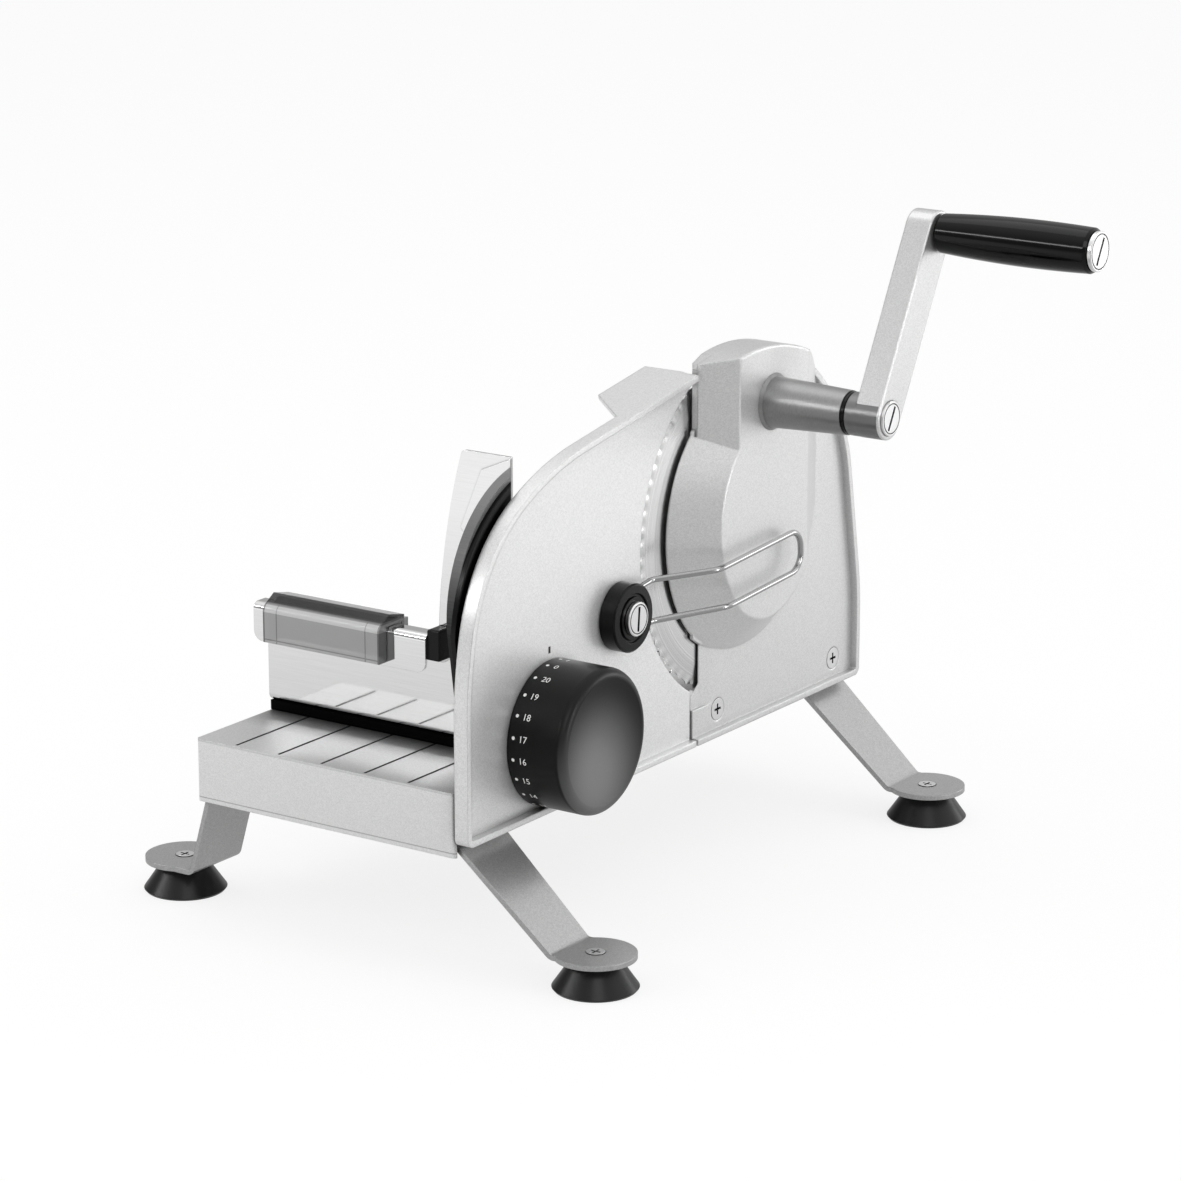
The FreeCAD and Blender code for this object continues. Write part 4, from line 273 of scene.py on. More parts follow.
def ground_blade_steel():
    """Stainless blade steel, ground in circles about the axle, with a hollow ground into each wave."""
    material, tree, place = start_material("ground_stainless_blade_steel")
    offset, radius = from_axis(tree, place, BLADE_AXIS)
    rings = add(tree, "ShaderNodeTexNoise", {"W": radius, "Scale": per_metre(0.8), "Detail": 5.0},
                noise_dimensions="1D")
    across, _, up = add(tree, "ShaderNodeSeparateXYZ", {"Vector": offset}, out=None).outputs
    angle = add(tree, "ShaderNodeMath", {0: across, 1: up}, operation="ARCTAN2")
    wave = add(tree, "ShaderNodeMath", {0: angle, 1: WAVE_COUNT}, operation="MULTIPLY")
    hollow = add(tree, "ShaderNodeMath", {0: wave}, operation="COSINE")
    near_edge = add(tree, "ShaderNodeMapRange", {
        "Value": radius, "From Min": WAVE_INNER_RADIUS, "From Max": WAVE_FULL_RADIUS})
    scallops = add(tree, "ShaderNodeMath", {0: hollow, 1: near_edge}, operation="MULTIPLY")
    steel = add(tree, "ShaderNodeMix", {
        "Factor": rings, "A": linear("#CDCDCD"), "B": linear("#F2F2F2")}, data_type="RGBA")
    shader = add(tree, "ShaderNodeBsdfPrincipled", {
        # Painted shade in corners and gaps
        "Base Color": open_parts(tree, steel, 1.2),
        "Metallic": 1.0,
        "Roughness": add(tree, "ShaderNodeMapRange", {"Value": rings, "To Min": 0.2, "To Max": 0.3}),
        "Normal": add(tree, "ShaderNodeBump", {
            "Height": rings, "Strength": 0.25, "Distance": 0.02 * MM,
            "Normal": relief(tree, scallops, 1.0, 0.25, 0.1)}),
    })
    return end_material(material, tree, shader)


def etched_dish(tree, place, colour):
    """A painted sheen in the knob's dish, strongest low down, and faded out towards its rim."""
    centred = add(tree, "ShaderNodeMapping", {"Vector": place, "Location": tuple(-DISH_GLOW)})
    distance = add(tree, "ShaderNodeVectorMath", {0: centred}, operation="LENGTH")
    sheen = add(tree, "ShaderNodeMapRange", {
        "Value": distance, "From Min": DISH_GLOW_INNER, "From Max": DISH_GLOW_OUTER,
        "To Min": 1.0, "To Max": 0.0},
        interpolation_type="SMOOTHSTEP")
    depth = add(tree, "ShaderNodeSeparateXYZ", {"Vector": place}, out="Y")
    front = add(tree, "ShaderNodeMapRange", {
        "Value": depth, "From Min": KNOB_FRONT_Y + DISH_START, "From Max": KNOB_FRONT_Y + DISH_END,
        "To Min": 1.0, "To Max": 0.0})
    # Painted sheen: pale grey, strongest low in the dish and only on its face
    sheen_in_dish = add(tree, "ShaderNodeMath", {0: sheen, 1: front}, operation="MULTIPLY")
    return add(tree, "ShaderNodeMix", {
        "Factor": sheen_in_dish, "A": colour, "B": linear("#6E6E6E")}, data_type="RGBA")


def moulded_plastic(name, dark, light, roughness, grain_mm, depth_mm, gloss=0.35, coat=0.0, with_painted_sheen=False):
    """Moulded plastic or rubber: an even colour, a fine spark-eroded grain and slightly uneven gloss."""
    material, tree, place = start_material(name)
    grain = add(tree, "ShaderNodeTexNoise", {"Vector": place, "Scale": per_metre(grain_mm), "Detail": 2.0})
    cloud = add(tree, "ShaderNodeTexNoise", {"Vector": place, "Scale": per_metre(18), "Detail": 2.0})
    colour = add(tree, "ShaderNodeMix", {
        "Factor": cloud, "A": linear(dark), "B": linear(light)}, data_type="RGBA")
    # A painted sheen in the dish
    if with_painted_sheen:
        colour = etched_dish(tree, place, colour)
    shader = add(tree, "ShaderNodeBsdfPrincipled", {
        # Painted shade in corners and gaps
        "Base Color": open_parts(tree, colour, 3.0),
        "Roughness": add(tree, "ShaderNodeMapRange", {
            "Value": cloud, "To Min": roughness - 0.03, "To Max": roughness + 0.04}),
        "Normal": relief(tree, grain, 0.5, depth_mm, 0.4),
        "Specular IOR Level": gloss,
        "Coat Weight": coat,
        "Coat Roughness": 0.05,
    })
    return end_material(material, tree, shader)


def polished_carriage():
    """Mirror-bright stainless sheet, with painted shade on the thumb guard's satin edge: dark low, paler
    higher up.
    """
    material, tree, place = start_material("polished_stainless_sheet")
    stretched = add(tree, "ShaderNodeMapping", {"Vector": place, "Scale": (1.0, 0.03, 1.0)})
    lines = add(tree, "ShaderNodeTexNoise", {"Vector": stretched, "Scale": per_metre(0.7), "Detail": 3.0})
    bright = add(tree, "ShaderNodeMix", {
        "Factor": lines, "A": linear("#E6E6E6"), "B": linear("#F2F2F2")}, data_type="RGBA")
    sheet = add(tree, "ShaderNodeBsdfPrincipled", {
        # Painted shade in corners and gaps
        "Base Color": open_parts(tree, bright, 1.6, alone=True),
        "Metallic": 1.0,
        "Roughness": add(tree, "ShaderNodeMapRange", {"Value": lines, "To Min": 0.05, "To Max": 0.08}),
        "Normal": relief(tree, lines, 0.1, 0.002, 0.3),
    })
    across, depth, height = add(tree, "ShaderNodeSeparateXYZ", {"Vector": place}, out=None).outputs
    streaks = add(tree, "ShaderNodeMath", {0: lines, 1: GUARD_STREAKS}, operation="MULTIPLY")
    streaked = add(tree, "ShaderNodeMath", {0: height, 1: streaks}, operation="ADD")
    rise = add(tree, "ShaderNodeMapRange", {
        "Value": streaked, "From Min": GUARD_DARK_Z, "From Max": GUARD_PALE_Z})
    # Painted shade: the guard's edge dark low down and paler higher up
    guard = add(tree, "ShaderNodeBsdfPrincipled", {
        "Base Color": add(tree, "ShaderNodeMix", {
            "Factor": rise, "A": linear("#222222"), "B": linear("#7E7E7E")}, data_type="RGBA"),
        "Metallic": 0.6,
        "Roughness": 0.5,
        "Normal": relief(tree, lines, 0.3, 0.01, 0.5),
    })
    before_wall = add(tree, "ShaderNodeMath", {
        0: across, 1: PUSHING_WALL_X - GUARD_BEFORE_WALL}, operation="LESS_THAN")
    beside_plate = add(tree, "ShaderNodeMath", {0: depth, 1: GUARD_BACK_Y}, operation="LESS_THAN")
    both = add(tree, "ShaderNodeMath", {0: before_wall, 1: beside_plate}, operation="MULTIPLY")
    return end_material(material, tree, add(tree, "ShaderNodeMixShader", {"Fac": both, 1: sheet, 2: guard}))


def sleeve_shade(tree, depth, height):
    """1 along the sleeve's top, where it is thick and in painted shade, and less on its ends, two ribs and
    brim.
    """
    # Painted shade along the top, where the sleeve is also thick
    top = add(tree, "ShaderNodeMapRange", {
        "Value": height,
        "From Min": SLEEVE_TOP_Z - SLEEVE_TOP_START, "From Max": SLEEVE_TOP_Z - SLEEVE_TOP_FULL})
    offset = add(tree, "ShaderNodeMath", {0: depth, 1: SLEEVE_MIDDLE_Y}, operation="SUBTRACT")
    away = add(tree, "ShaderNodeMath", {0: offset}, operation="ABSOLUTE")
    end = add(tree, "ShaderNodeMath", {
        0: away, 1: SLEEVE_HALF_LENGTH - SLEEVE_END_THICKNESS}, operation="GREATER_THAN")
    rib = add(tree, "ShaderNodeMath", {
        0: away, 1: SLEEVE_HALF_LENGTH - RIB_FROM_END, 2: MOULD_LINE_HALF_WIDTH}, operation="COMPARE")
    brim = add(tree, "ShaderNodeMath", {
        0: height, 1: SLEEVE_FOOT_Z + BRIM_ABOVE_FOOT, 2: MOULD_LINE_HALF_WIDTH}, operation="COMPARE")
    shade = top
    for thick, darkness in ((end, 0.75), (rib, 0.6), (brim, 0.6)):
        part = add(tree, "ShaderNodeMapRange", {"Value": thick, "To Max": darkness})
        shade = add(tree, "ShaderNodeMath", {0: shade, 1: part}, operation="MAXIMUM")
    return shade


def smoky_plastic():
    """Smoky moulded styrene: a grey tint, darker where thick, painted shade on its top and a painted
    highlight below it.
    """
    material, tree, place = start_material("smoky_clear_styrene")
    cloud = add(tree, "ShaderNodeTexNoise", {"Vector": place, "Scale": per_metre(12), "Detail": 2.0})
    _, depth, height = add(tree, "ShaderNodeSeparateXYZ", {"Vector": place}, out=None).outputs
    shade = sleeve_shade(tree, depth, height)
    smoke = add(tree, "ShaderNodeMix", {
        "Factor": shade, "A": linear("#AEAEAE"), "B": linear("#323232")}, data_type="RGBA")
    # Painted highlight: a pale band just under the top
    band = add(tree, "ShaderNodeMath", {
        0: height, 1: SLEEVE_TOP_Z - BROW_BELOW_TOP, 2: BROW_HALF_WIDTH}, operation="COMPARE")
    brow = add(tree, "ShaderNodeMath", {0: band, 1: shade}, operation="SUBTRACT", use_clamp=True)
    shader = add(tree, "ShaderNodeBsdfPrincipled", {
        "Base Color": add(tree, "ShaderNodeMix", {
            "Factor": brow, "A": smoke, "B": linear("#DADADA")}, data_type="RGBA"),
        "Roughness": add(tree, "ShaderNodeMapRange", {"Value": cloud, "To Min": 0.08, "To Max": 0.13}),
        "IOR": 1.49,
        "Specular IOR Level": 0.3,
        "Alpha": add(tree, "ShaderNodeMapRange", {"Value": shade, "To Min": 0.66, "To Max": 0.8}),
    })
    return end_material(material, tree, shader)


def printed_ink(name, colour):
    """Pad-printed ink: a thin matt film with slightly uneven cover."""
    material, tree, place = start_material(name)
    cover = add(tree, "ShaderNodeTexNoise", {"Vector": place, "Scale": per_metre(0.6), "Detail": 2.0})
    shader = add(tree, "ShaderNodeBsdfPrincipled", {
        "Base Color": linear(colour),
        "Roughness": add(tree, "ShaderNodeMapRange", {"Value": cover, "To Min": 0.5, "To Max": 0.65}),
    })
    return end_material(material, tree, shader)


def make_finishes():
    """Gives every node its finish."""
    finishes = [
        # Soft grey faces with a fine glitter, and pale lines on the rounded edges
        (silver_paint("silver_enamel_on_cast_aluminium", light="#DCDCDC", dark="#CACACA", roughness=0.36,
                      metallic=0.6, darkest=0.6),
         ["gear_case"]),
        # The same enamel, in paler colours on the flat casting as painted light
        (silver_paint("silver_enamel_painted_paler_on_plate", light="#ECECEC", dark="#DADADA", roughness=0.36,
                      metallic=0.6, darkest=0.6),
         ["stop_plate"]),
        # Smoother enamel on broad bright faces, and painted shade on the hub
        (silver_paint("silver_enamel_on_cast_arm", light="#DFDFDF", dark="#CCCCCC", roughness=0.3,
                      rounding_mm=0.8, reach_mm=2.0, hub=True),
         ["crank_arm"]),
        # Darker enamel with crisp edges
        (silver_paint("silver_enamel_on_steel_strip", light="#BDBDBD", dark="#A8A8A8", roughness=0.32,
                      rounding_mm=0.6),
         ["leg_bracket_left", "leg_bracket_right"]),
        # A matt top with painted shade in the grooves and near the carriage, and painted light on the paler
        # skirts
        (silver_paint("silver_enamel_on_folded_sheet", light="#D8D8D8", dark="#C9C9C9", roughness=0.42,
                      metallic=0.6, rounding_mm=0.6, reach_mm=26.0, darkest=0.06, bend=3.0, folded=True),
         ["table", "guide_block_left", "guide_block_right"]),
        # A mirror for the table, and painted shade on the edge of the guard
        (polished_carriage(), ["carriage"]),
        # Bright rings, and a glint in each wave
        (ground_blade_steel(), ["blade"]),
        # Mid grey, with one soft streak of light along the tube
        (brushed_metal("turned_satin_steel", light="#AAAAAA", dark="#8A8A8A", roughness=0.36, grain_mm=0.5,
                       stretch=(0.3, 1.0, 0.3), depth_mm=0.004),
         ["bearing_tube"]),
        # Thin sharp lines of light on grey
        (brushed_metal("drawn_bright_wire", light="#B8B8B8", dark="#A0A0A0", roughness=0.16, grain_mm=0.6,
                       stretch=(1.0, 1.0, 1.0), depth_mm=0.003),
         ["deflector_wire"]),
        # Nearly white heads, with painted shade that makes the slots black
        (brushed_metal("nickel_plated_steel", light="#F4F4F4", dark="#E8E8E8", roughness=0.28, grain_mm=0.6,
                       stretch=(1.0, 1.0, 1.0), depth_mm=0.003, black_shaded_slots=True),
         ["deflector_screw", "crank_screw", "handle_pin", "case_screws", "foot_screws", "slider_screws"]),
        # Plain turned steel, mostly out of sight
        (brushed_metal("machined_carbon_steel", light="#BDBDBD", dark="#9E9E9E", roughness=0.3, grain_mm=0.5,
                       stretch=(0.2, 1.0, 0.2), depth_mm=0.006),
         ["blade_axle", "axle_clip", "blade_bolt", "crank_shaft", "crank_pinion", "pinion_clip", "knob_bolt",
          "cam_follower", "guide_rod_left", "guide_rod_right", "case_nuts"]),
        # Black with a soft sheen, and a painted grey sheen in the dish
        (moulded_plastic("eroded_black_abs", dark="#050505", light="#090909", roughness=0.34, grain_mm=0.5,
                         depth_mm=0.02, gloss=0.22, with_painted_sheen=True),
         ["thickness_knob"]),
        # Deep black with sharp highlights
        (moulded_plastic("polished_black_phenolic", dark="#010101", light="#020202", roughness=0.12,
                         grain_mm=6.0, depth_mm=0.01, gloss=0.2, coat=0.12),
         ["handle_grip"]),
        # Black with small highlights on the edges
        (moulded_plastic("black_abs", dark="#030303", light="#060606", roughness=0.26, grain_mm=0.5,
                         depth_mm=0.02, gloss=0.22),
         ["deflector_base", "guard_liner", "lip_end_block", "outer_shaft_bush", "inner_shaft_bush",
          "blade_bush"]),
        # A black that gives back almost no light
        (moulded_plastic("matt_black_nylon", dark="#010101", light="#020202", roughness=0.7, grain_mm=0.5,
                         depth_mm=0.02, gloss=0.05),
         ["carriage_runners", "carriage_slider"]),
        # Ivory, and dull
        (moulded_plastic("natural_nylon", dark="#D3CEBF", light="#DEDACD", roughness=0.5, grain_mm=0.8,
                         depth_mm=0.02, gloss=0.5),
         ["blade_gear"]),
        # Black with a broad grey sheen on the cones
        (moulded_plastic("black_suction_rubber", dark="#040404", light="#080808", roughness=0.3, grain_mm=0.8,
                         depth_mm=0.01),
         ["suction_foot_front_left", "suction_foot_front_right", "suction_foot_rear_left",
          "suction_foot_rear_right"]),
        # Grey and half clear
        (smoky_plastic(), ["holder_sleeve", "holder_plate"]),
    ]
    for material, names in finishes:
        for name in names:
            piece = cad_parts[name]
            piece.data.materials.clear()
            piece.data.materials.append(material)


def new_piece(name, vertices, faces, material):
    """A piece of plain mesh with its material."""
    mesh = bpy.data.meshes.new(name)
    mesh.from_pydata(vertices, [], faces)
    mesh.materials.append(material)
    piece = bpy.data.objects.new(name, mesh)
    bpy.context.scene.collection.objects.link(piece)
    return piece


# The thin upper left edge of the case: a wall down to the blade, and a cover that climbs to the right
EDGE_LEFT_X = 18.0 * MM
EDGE_WALL = 1.6 * MM
EDGE_FRONT_Y = -19.0 * MM
EDGE_BACK_Y = -16.1 * MM
EDGE_FOOT_Z = 215.0 * MM
COVER_RIGHT_X = 30.0 * MM
COVER_BACK_Y = -13.5 * MM
COVER_UNDER_Z = 247.27 * MM
COVER_TOP_Z = 250.32 * MM
COVER_RISE = 2.27 * MM
WALL_INTO_COVER = 0.2 * MM


def sloped_block(plan, under, top, rise):
    """Corners and faces of an upright block whose underside and top climb by this much from left to right."""
    left = min(x for x, _ in plan)
    width = max(x for x, _ in plan) - left
    corners = [(x, y, z + rise * (x - left) / width) for z in (under, top) for x, y in plan]
    count = len(plan)
    faces = [list(range(count))[::-1], list(range(count, 2 * count))]
    for i in range(count):
        j = (i + 1) % count
        faces.append([i, j, count + j, count + i])
    return corners, faces


def make_case_edge(paint):
    """Closes the case's thin upper left edge, which the solid leaves open."""
    wall_right_x = EDGE_LEFT_X + EDGE_WALL
    wall_plan = [(EDGE_LEFT_X, EDGE_FRONT_Y), (wall_right_x, EDGE_FRONT_Y),
                 (wall_right_x, EDGE_BACK_Y), (EDGE_LEFT_X, EDGE_BACK_Y)]
    cover_plan = [(EDGE_LEFT_X, EDGE_FRONT_Y), (COVER_RIGHT_X, EDGE_FRONT_Y),
                  (COVER_RIGHT_X, COVER_BACK_Y), (EDGE_LEFT_X, EDGE_BACK_Y)]
    vertices = []
    faces = []
    for block in (sloped_block(wall_plan, EDGE_FOOT_Z, COVER_UNDER_Z + WALL_INTO_COVER, 0.0),
                  sloped_block(cover_plan, COVER_UNDER_Z, COVER_TOP_Z, COVER_RISE)):
        first = len(vertices)
        vertices.extend(block[0])
        faces.extend([first + i for i in face] for face in block[1])
    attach(new_piece("case_edge", vertices, faces, paint), "frame")


# The knob's dial, with a dot and a number for each step, and the line on the plate that it is read against
DIAL_STEPS = 21
DIAL_ZERO_ANGLE = 11.2
KNOB_RADIUS = 34.5 * MM
DOT_RADIUS = 0.85 * MM
DOT_CORNERS = 16
DOT_FROM_BASE = 3.2 * MM
NUMBER_FROM_BASE = 7.1 * MM
NUMBER_HEIGHT = 3.1 * MM
INK_PROUD = 0.06 * MM
INDEX_HALF_WIDTH = 0.8 * MM
INDEX_LEFT_OF_AXIS = 0.3 * MM
INDEX_LOW = 37.5 * MM
INDEX_HIGH = 40.7 * MM


def start_group(name, sizes):
    """A Geometry Nodes tree with these inputs, and the sockets that give them."""
    tree = bpy.data.node_groups.new(name, "GeometryNodeTree")
    for label, kind, value in sizes:
        socket = tree.interface.new_socket(label, in_out="INPUT", socket_type=kind)
        if value is not None:
            socket.default_value = value
    tree.interface.new_socket("Geometry", in_out="OUTPUT", socket_type="NodeSocketGeometry")
    return tree, tree.nodes.new("NodeGroupInput").outputs


def end_group(tree, geometry, material):
    """Ends a tree in plain geometry with its material."""
    real = add(tree, "GeometryNodeRealizeInstances", {"Geometry": geometry})
    painted = add(tree, "GeometryNodeSetMaterial", {"Geometry": real, "Material": material})
    add(tree, "NodeGroupOutput", {0: painted}, out=None)
    return tree


def grow(name, tree, values):
    """Runs a tree with these input values and keeps the result as a plain mesh."""
    holder = bpy.data.objects.new(name, bpy.data.meshes.new(name + "_seed"))
    bpy.context.scene.collection.objects.link(holder)
    modifier = holder.modifiers.new("grow", "NODES")
    modifier.node_group = tree
    for item in tree.interface.items_tree:
        if item.item_type == "SOCKET" and item.in_out == "INPUT" and item.name in values:
            modifier[item.identifier] = values[item.name]
    bpy.context.view_layer.update()
    solid = bpy.data.meshes.new_from_object(holder.evaluated_get(bpy.context.evaluated_depsgraph_get()))
    holder.modifiers.clear()
    holder.data = solid
    return holder


def dot_ring_tree():
    """Round dots that stand outwards on a ring about the Y axis."""
    tree, sizes = start_group("dot_ring", [
        ("Count", "NodeSocketInt", 12),
        ("Ring Radius", "NodeSocketFloat", 0.03),
        ("Dot Radius", "NodeSocketFloat", 0.001),
        ("Start Angle", "NodeSocketFloat", 0.0),
        ("Centre", "NodeSocketVector", None),
        ("Material", "NodeSocketMaterial", None),
    ])
    ring = add(tree, "GeometryNodeMeshCircle", {"Vertices": sizes["Count"], "Radius": sizes["Ring Radius"]})
    disc = add(tree, "GeometryNodeMeshCircle", {"Vertices": DOT_CORNERS, "Radius": sizes["Dot Radius"]},
               fill_type="NGON")
    outwards = add(tree, "GeometryNodeInputPosition")
    facing = add(tree, "FunctionNodeAlignRotationToVector", {"Vector": outwards}, axis="Z")
    dots = add(tree, "GeometryNodeInstanceOnPoints", {"Points": ring, "Instance": disc, "Rotation": facing})
    start = add(tree, "ShaderNodeCombineXYZ", {"Z": sizes["Start Angle"]})
    turned = add(tree, "GeometryNodeTransform", {"Geometry": dots, "Rotation": start})
    placed = add(tree, "GeometryNodeTransform", {
        "Geometry": turned, "Rotation": (math.pi / 2, 0.0, 0.0), "Translation": sizes["Centre"]})
    return end_group(tree, placed, sizes["Material"])


def wrapped_number(text, angle, start_y):
    """The mesh of a number laid on the knob's side, read along -Y, at an angle to the left of its top."""
    curve = bpy.data.curves.new("number", "FONT")
    curve.body = text
    curve.size = 1.0
    curve.resolution_u = 3
    holder = bpy.data.objects.new("number", curve)
    bpy.context.scene.collection.objects.link(holder)
    bpy.context.view_layer.update()
    mesh = bpy.data.meshes.new_from_object(holder.evaluated_get(bpy.context.evaluated_depsgraph_get()))
    bpy.data.objects.remove(holder)
    height = max(v.co.y for v in mesh.vertices)
    left = min(v.co.x for v in mesh.vertices)
    scale = NUMBER_HEIGHT / height
    radius = KNOB_RADIUS + INK_PROUD
    for v in mesh.vertices:
        turn = angle - (v.co.y - height / 2) * scale / radius
        y = start_y - (v.co.x - left) * scale
        v.co = Vector((KNOB_AXIS.x - radius * math.sin(turn), y, KNOB_AXIS.z + radius * math.cos(turn)))
    return mesh


def make_dial(ink):
    """White dots and numbers on the knob's side."""
    zero = math.radians(DIAL_ZERO_ANGLE)
    step = 2 * math.pi / DIAL_STEPS
    dots = grow("dial_dots", dot_ring_tree(), {
        "Count": DIAL_STEPS,
        "Ring Radius": KNOB_RADIUS + INK_PROUD,
        "Dot Radius": DOT_RADIUS,
        "Start Angle": math.pi / 2 + zero,
        "Centre": Vector((KNOB_AXIS.x, KNOB_BACK_Y - DOT_FROM_BASE, KNOB_AXIS.z)),
        "Material": ink,
    })
    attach(dots, "setting_knob")
    vertices = []
    faces = []
    for value in range(DIAL_STEPS):
        number = wrapped_number(str(value), zero - value * step, KNOB_BACK_Y - NUMBER_FROM_BASE)
        first = len(vertices)
        vertices.extend(v.co.copy() for v in number.vertices)
        faces.extend([first + i for i in face.vertices] for face in number.polygons)
    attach(new_piece("dial_numbers", vertices, faces, ink), "setting_knob")


def make_index_line(ink):
    """The short printed line above the knob that the dial is read against."""
    middle_x = KNOB_AXIS.x - INDEX_LEFT_OF_AXIS
    left, right = middle_x - INDEX_HALF_WIDTH, middle_x + INDEX_HALF_WIDTH
    low, high = KNOB_AXIS.z + INDEX_LOW, KNOB_AXIS.z + INDEX_HIGH
    y = PLATE_FACE_Y - INK_PROUD
    corners = [(left, y, low), (right, y, low), (right, y, high), (left, y, high)]
    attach(new_piece("index_line", corners, [(0, 1, 2, 3)], ink), "stop")


# The stage: strengths of the light that metal sees in the floor and the room, and how far out in metres the
# floor changes
FLOOR_SIZE = 12.0
FLOOR_GLOW = 0.8
NEAR_FLOOR_LIGHT = 0.55
FAR_FLOOR_LIGHT = 1.0
FLOOR_LIGHT_START = 0.15
FLOOR_LIGHT_END = 0.9
CAMERA_SIDE = (-0.57, -0.82, 0.0)
CAMERA_SIDE_LIGHT = 0.5
CAMERA_SIDE_END = 0.8
ROOM_LOW_LIGHT = 0.32
ROOM_HIGH_LIGHT = 0.92
ROOM_FRONT_LIGHT = 0.5
CEILING_START = 0.3
CEILING_FULL = 0.8
LIT_SIDE = (0.8, -0.6, 0.0)
LIT_SIDE_START = 0.1
LIT_SIDE_FULL = 0.8

# Softboxes: name, place, width and height in metres, and power in watts
SOFTBOXES = [
    ("key_softbox", (-2.2, -2.0, 2.2), 1.6, 1.6, 16.0),
    ("front_softbox", (2.2, -1.6, 0.45), 1.4, 0.8, 12.0),
    ("streak_softbox", (-1.5, 1.15, 1.0), 1.6, 0.12, 8.0),
    ("top_softbox", (0.3, 0.8, 2.8), 1.8, 1.8, 8.0),
    ("edge_softbox", (0.35, -2.4, 0.25), 0.3, 1.2, 14.0),
]
LAMPS_FACE = Vector((0.0, 0.0, 0.15))

# The photograph's view, in the frame of the part: degrees, metres, and the lens in millimetres
VIEW_AZIMUTH = -55.50
VIEW_ELEVATION = 15.32
VIEW_DISTANCE = 1936.22 * MM
VIEW_TARGET = Vector((-74.22, -21.0, 160.45)) * MM
LENS = 128.04
SENSOR = 36.0
NEAREST_SEEN = 0.05
FARTHEST_SEEN = 50.0


def seen_straight(tree, path):
    """1 for rays that see the background straight on or through clear plastic."""
    return add(tree, "ShaderNodeMath", {
        0: path["Is Camera Ray"], 1: path["Is Transmission Ray"]}, operation="MAXIMUM")


def make_floor():
    """A pale floor that shows white with a soft shadow, and in reflections glows as painted light, brighter
    far away.
    """
    material, tree, place = start_material("white_paper_floor")
    paper = add(tree, "ShaderNodeBsdfDiffuse", {"Color": linear("#F4F4F4")})
    glow = add(tree, "ShaderNodeEmission", {"Color": WHITE, "Strength": 1.0})
    bright = add(tree, "ShaderNodeMixShader", {"Fac": FLOOR_GLOW, 1: paper, 2: glow})
    distance = add(tree, "ShaderNodeVectorMath", {0: place}, operation="LENGTH")
    light = add(tree, "ShaderNodeMapRange", {
        "Value": distance, "From Min": FLOOR_LIGHT_START, "From Max": FLOOR_LIGHT_END,
        "To Min": NEAR_FLOOR_LIGHT, "To Max": FAR_FLOOR_LIGHT})
    toward = add(tree, "ShaderNodeVectorMath", {0: place, 1: CAMERA_SIDE}, operation="DOT_PRODUCT")
    shade = add(tree, "ShaderNodeMapRange", {
        "Value": toward, "From Min": FLOOR_LIGHT_START, "From Max": CAMERA_SIDE_END,
        "To Min": 1.0, "To Max": CAMERA_SIDE_LIGHT})
    pool = add(tree, "ShaderNodeMath", {0: light, 1: shade}, operation="MULTIPLY")
    mirrored = add(tree, "ShaderNodeEmission", {"Color": WHITE, "Strength": pool})
    path = add(tree, "ShaderNodeLightPath", out=None).outputs
    lit = add(tree, "ShaderNodeMixShader", {"Fac": path["Is Glossy Ray"], 1: paper, 2: mirrored})
    surface = add(tree, "ShaderNodeMixShader", {"Fac": seen_straight(tree, path), 1: lit, 2: bright})
    end_material(material, tree, surface)
    half = FLOOR_SIZE / 2
    corners = [(-half, -half, 0), (half, -half, 0), (half, half, 0), (-half, half, 0)]
    floor = new_piece("floor", corners, [(0, 1, 2, 3)], material)


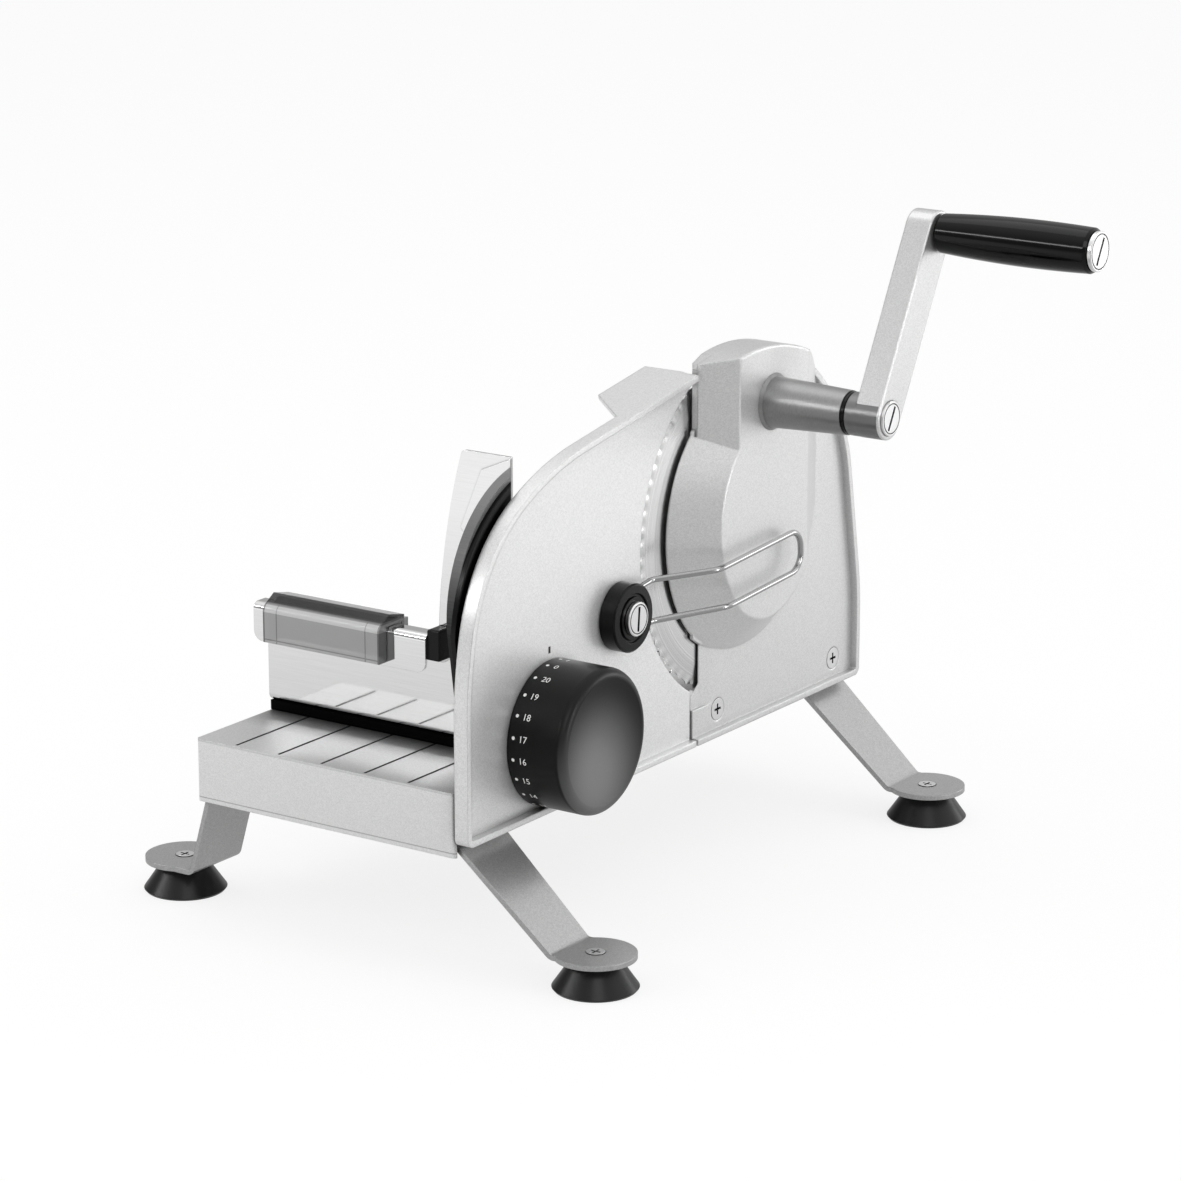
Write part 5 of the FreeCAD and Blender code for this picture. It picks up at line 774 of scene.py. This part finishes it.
def make_world():
    """A plain studio: white where it is seen, and for its light grey walls, a bright ceiling and front."""
    world = bpy.data.worlds.new("studio")
    bpy.context.scene.world = world
    world.use_nodes = True
    tree = world.node_tree
    tree.nodes.clear()
    direction = add(tree, "ShaderNodeTexCoord", out="Generated")
    up = add(tree, "ShaderNodeSeparateXYZ", {"Vector": direction}, out="Z")
    walls = add(tree, "ShaderNodeMapRange", {
        "Value": up, "From Min": CEILING_START, "From Max": CEILING_FULL,
        "To Min": ROOM_LOW_LIGHT, "To Max": ROOM_HIGH_LIGHT})
    toward = add(tree, "ShaderNodeVectorMath", {0: direction, 1: LIT_SIDE}, operation="DOT_PRODUCT")
    front = add(tree, "ShaderNodeMapRange", {
        "Value": toward, "From Min": LIT_SIDE_START, "From Max": LIT_SIDE_FULL,
        "To Min": 0.0, "To Max": ROOM_FRONT_LIGHT})
    light = add(tree, "ShaderNodeMath", {0: walls, 1: front}, operation="ADD")
    room = add(tree, "ShaderNodeBackground", {"Color": WHITE, "Strength": light})
    white = add(tree, "ShaderNodeBackground", {"Color": WHITE, "Strength": 1.0})
    path = add(tree, "ShaderNodeLightPath", out=None).outputs
    surface = add(tree, "ShaderNodeMixShader", {"Fac": seen_straight(tree, path), 1: room, 2: white})
    add(tree, "ShaderNodeOutputWorld", {"Surface": surface}, out=None)


def make_softbox(name, place, width, height, power):
    """A rectangular lamp that faces the middle of the object."""
    lamp = bpy.data.lights.new(name, "AREA")
    lamp.shape = "RECTANGLE"
    lamp.size = width
    lamp.size_y = height
    lamp.energy = power
    holder = bpy.data.objects.new(name, lamp)
    bpy.context.scene.collection.objects.link(holder)
    holder.location = place
    holder.rotation_euler = (LAMPS_FACE - Vector(place)).to_track_quat("-Z", "Y").to_euler()


def make_camera():
    """The camera at the photograph's viewing angle."""
    azimuth = math.radians(VIEW_AZIMUTH)
    elevation = math.radians(VIEW_ELEVATION)
    back = Vector((math.sin(azimuth) * math.cos(elevation), -math.cos(azimuth) * math.cos(elevation),
                   math.sin(elevation)))
    camera = bpy.data.cameras.new("camera")
    camera.lens = LENS
    camera.sensor_width = SENSOR
    camera.clip_start = NEAREST_SEEN
    camera.clip_end = FARTHEST_SEEN
    holder = bpy.data.objects.new("camera", camera)
    bpy.context.scene.collection.objects.link(holder)
    holder.location = VIEW_TARGET + back * VIEW_DISTANCE
    holder.rotation_mode = "QUATERNION"
    holder.rotation_quaternion = (-back).to_track_quat("-Z", "Y")
    bpy.context.scene.camera = holder


make_finishes()
make_case_edge(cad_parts["gear_case"].data.materials[0])
make_dial(printed_ink("white_printed_ink", "#F2F2F0"))
make_index_line(printed_ink("black_printed_ink", "#151516"))
make_floor()
make_world()
for name, place, width, height, power in SOFTBOXES:
    make_softbox(name, place, width, height, power)
make_camera()
bpy.context.scene.view_settings.view_transform = "Standard"
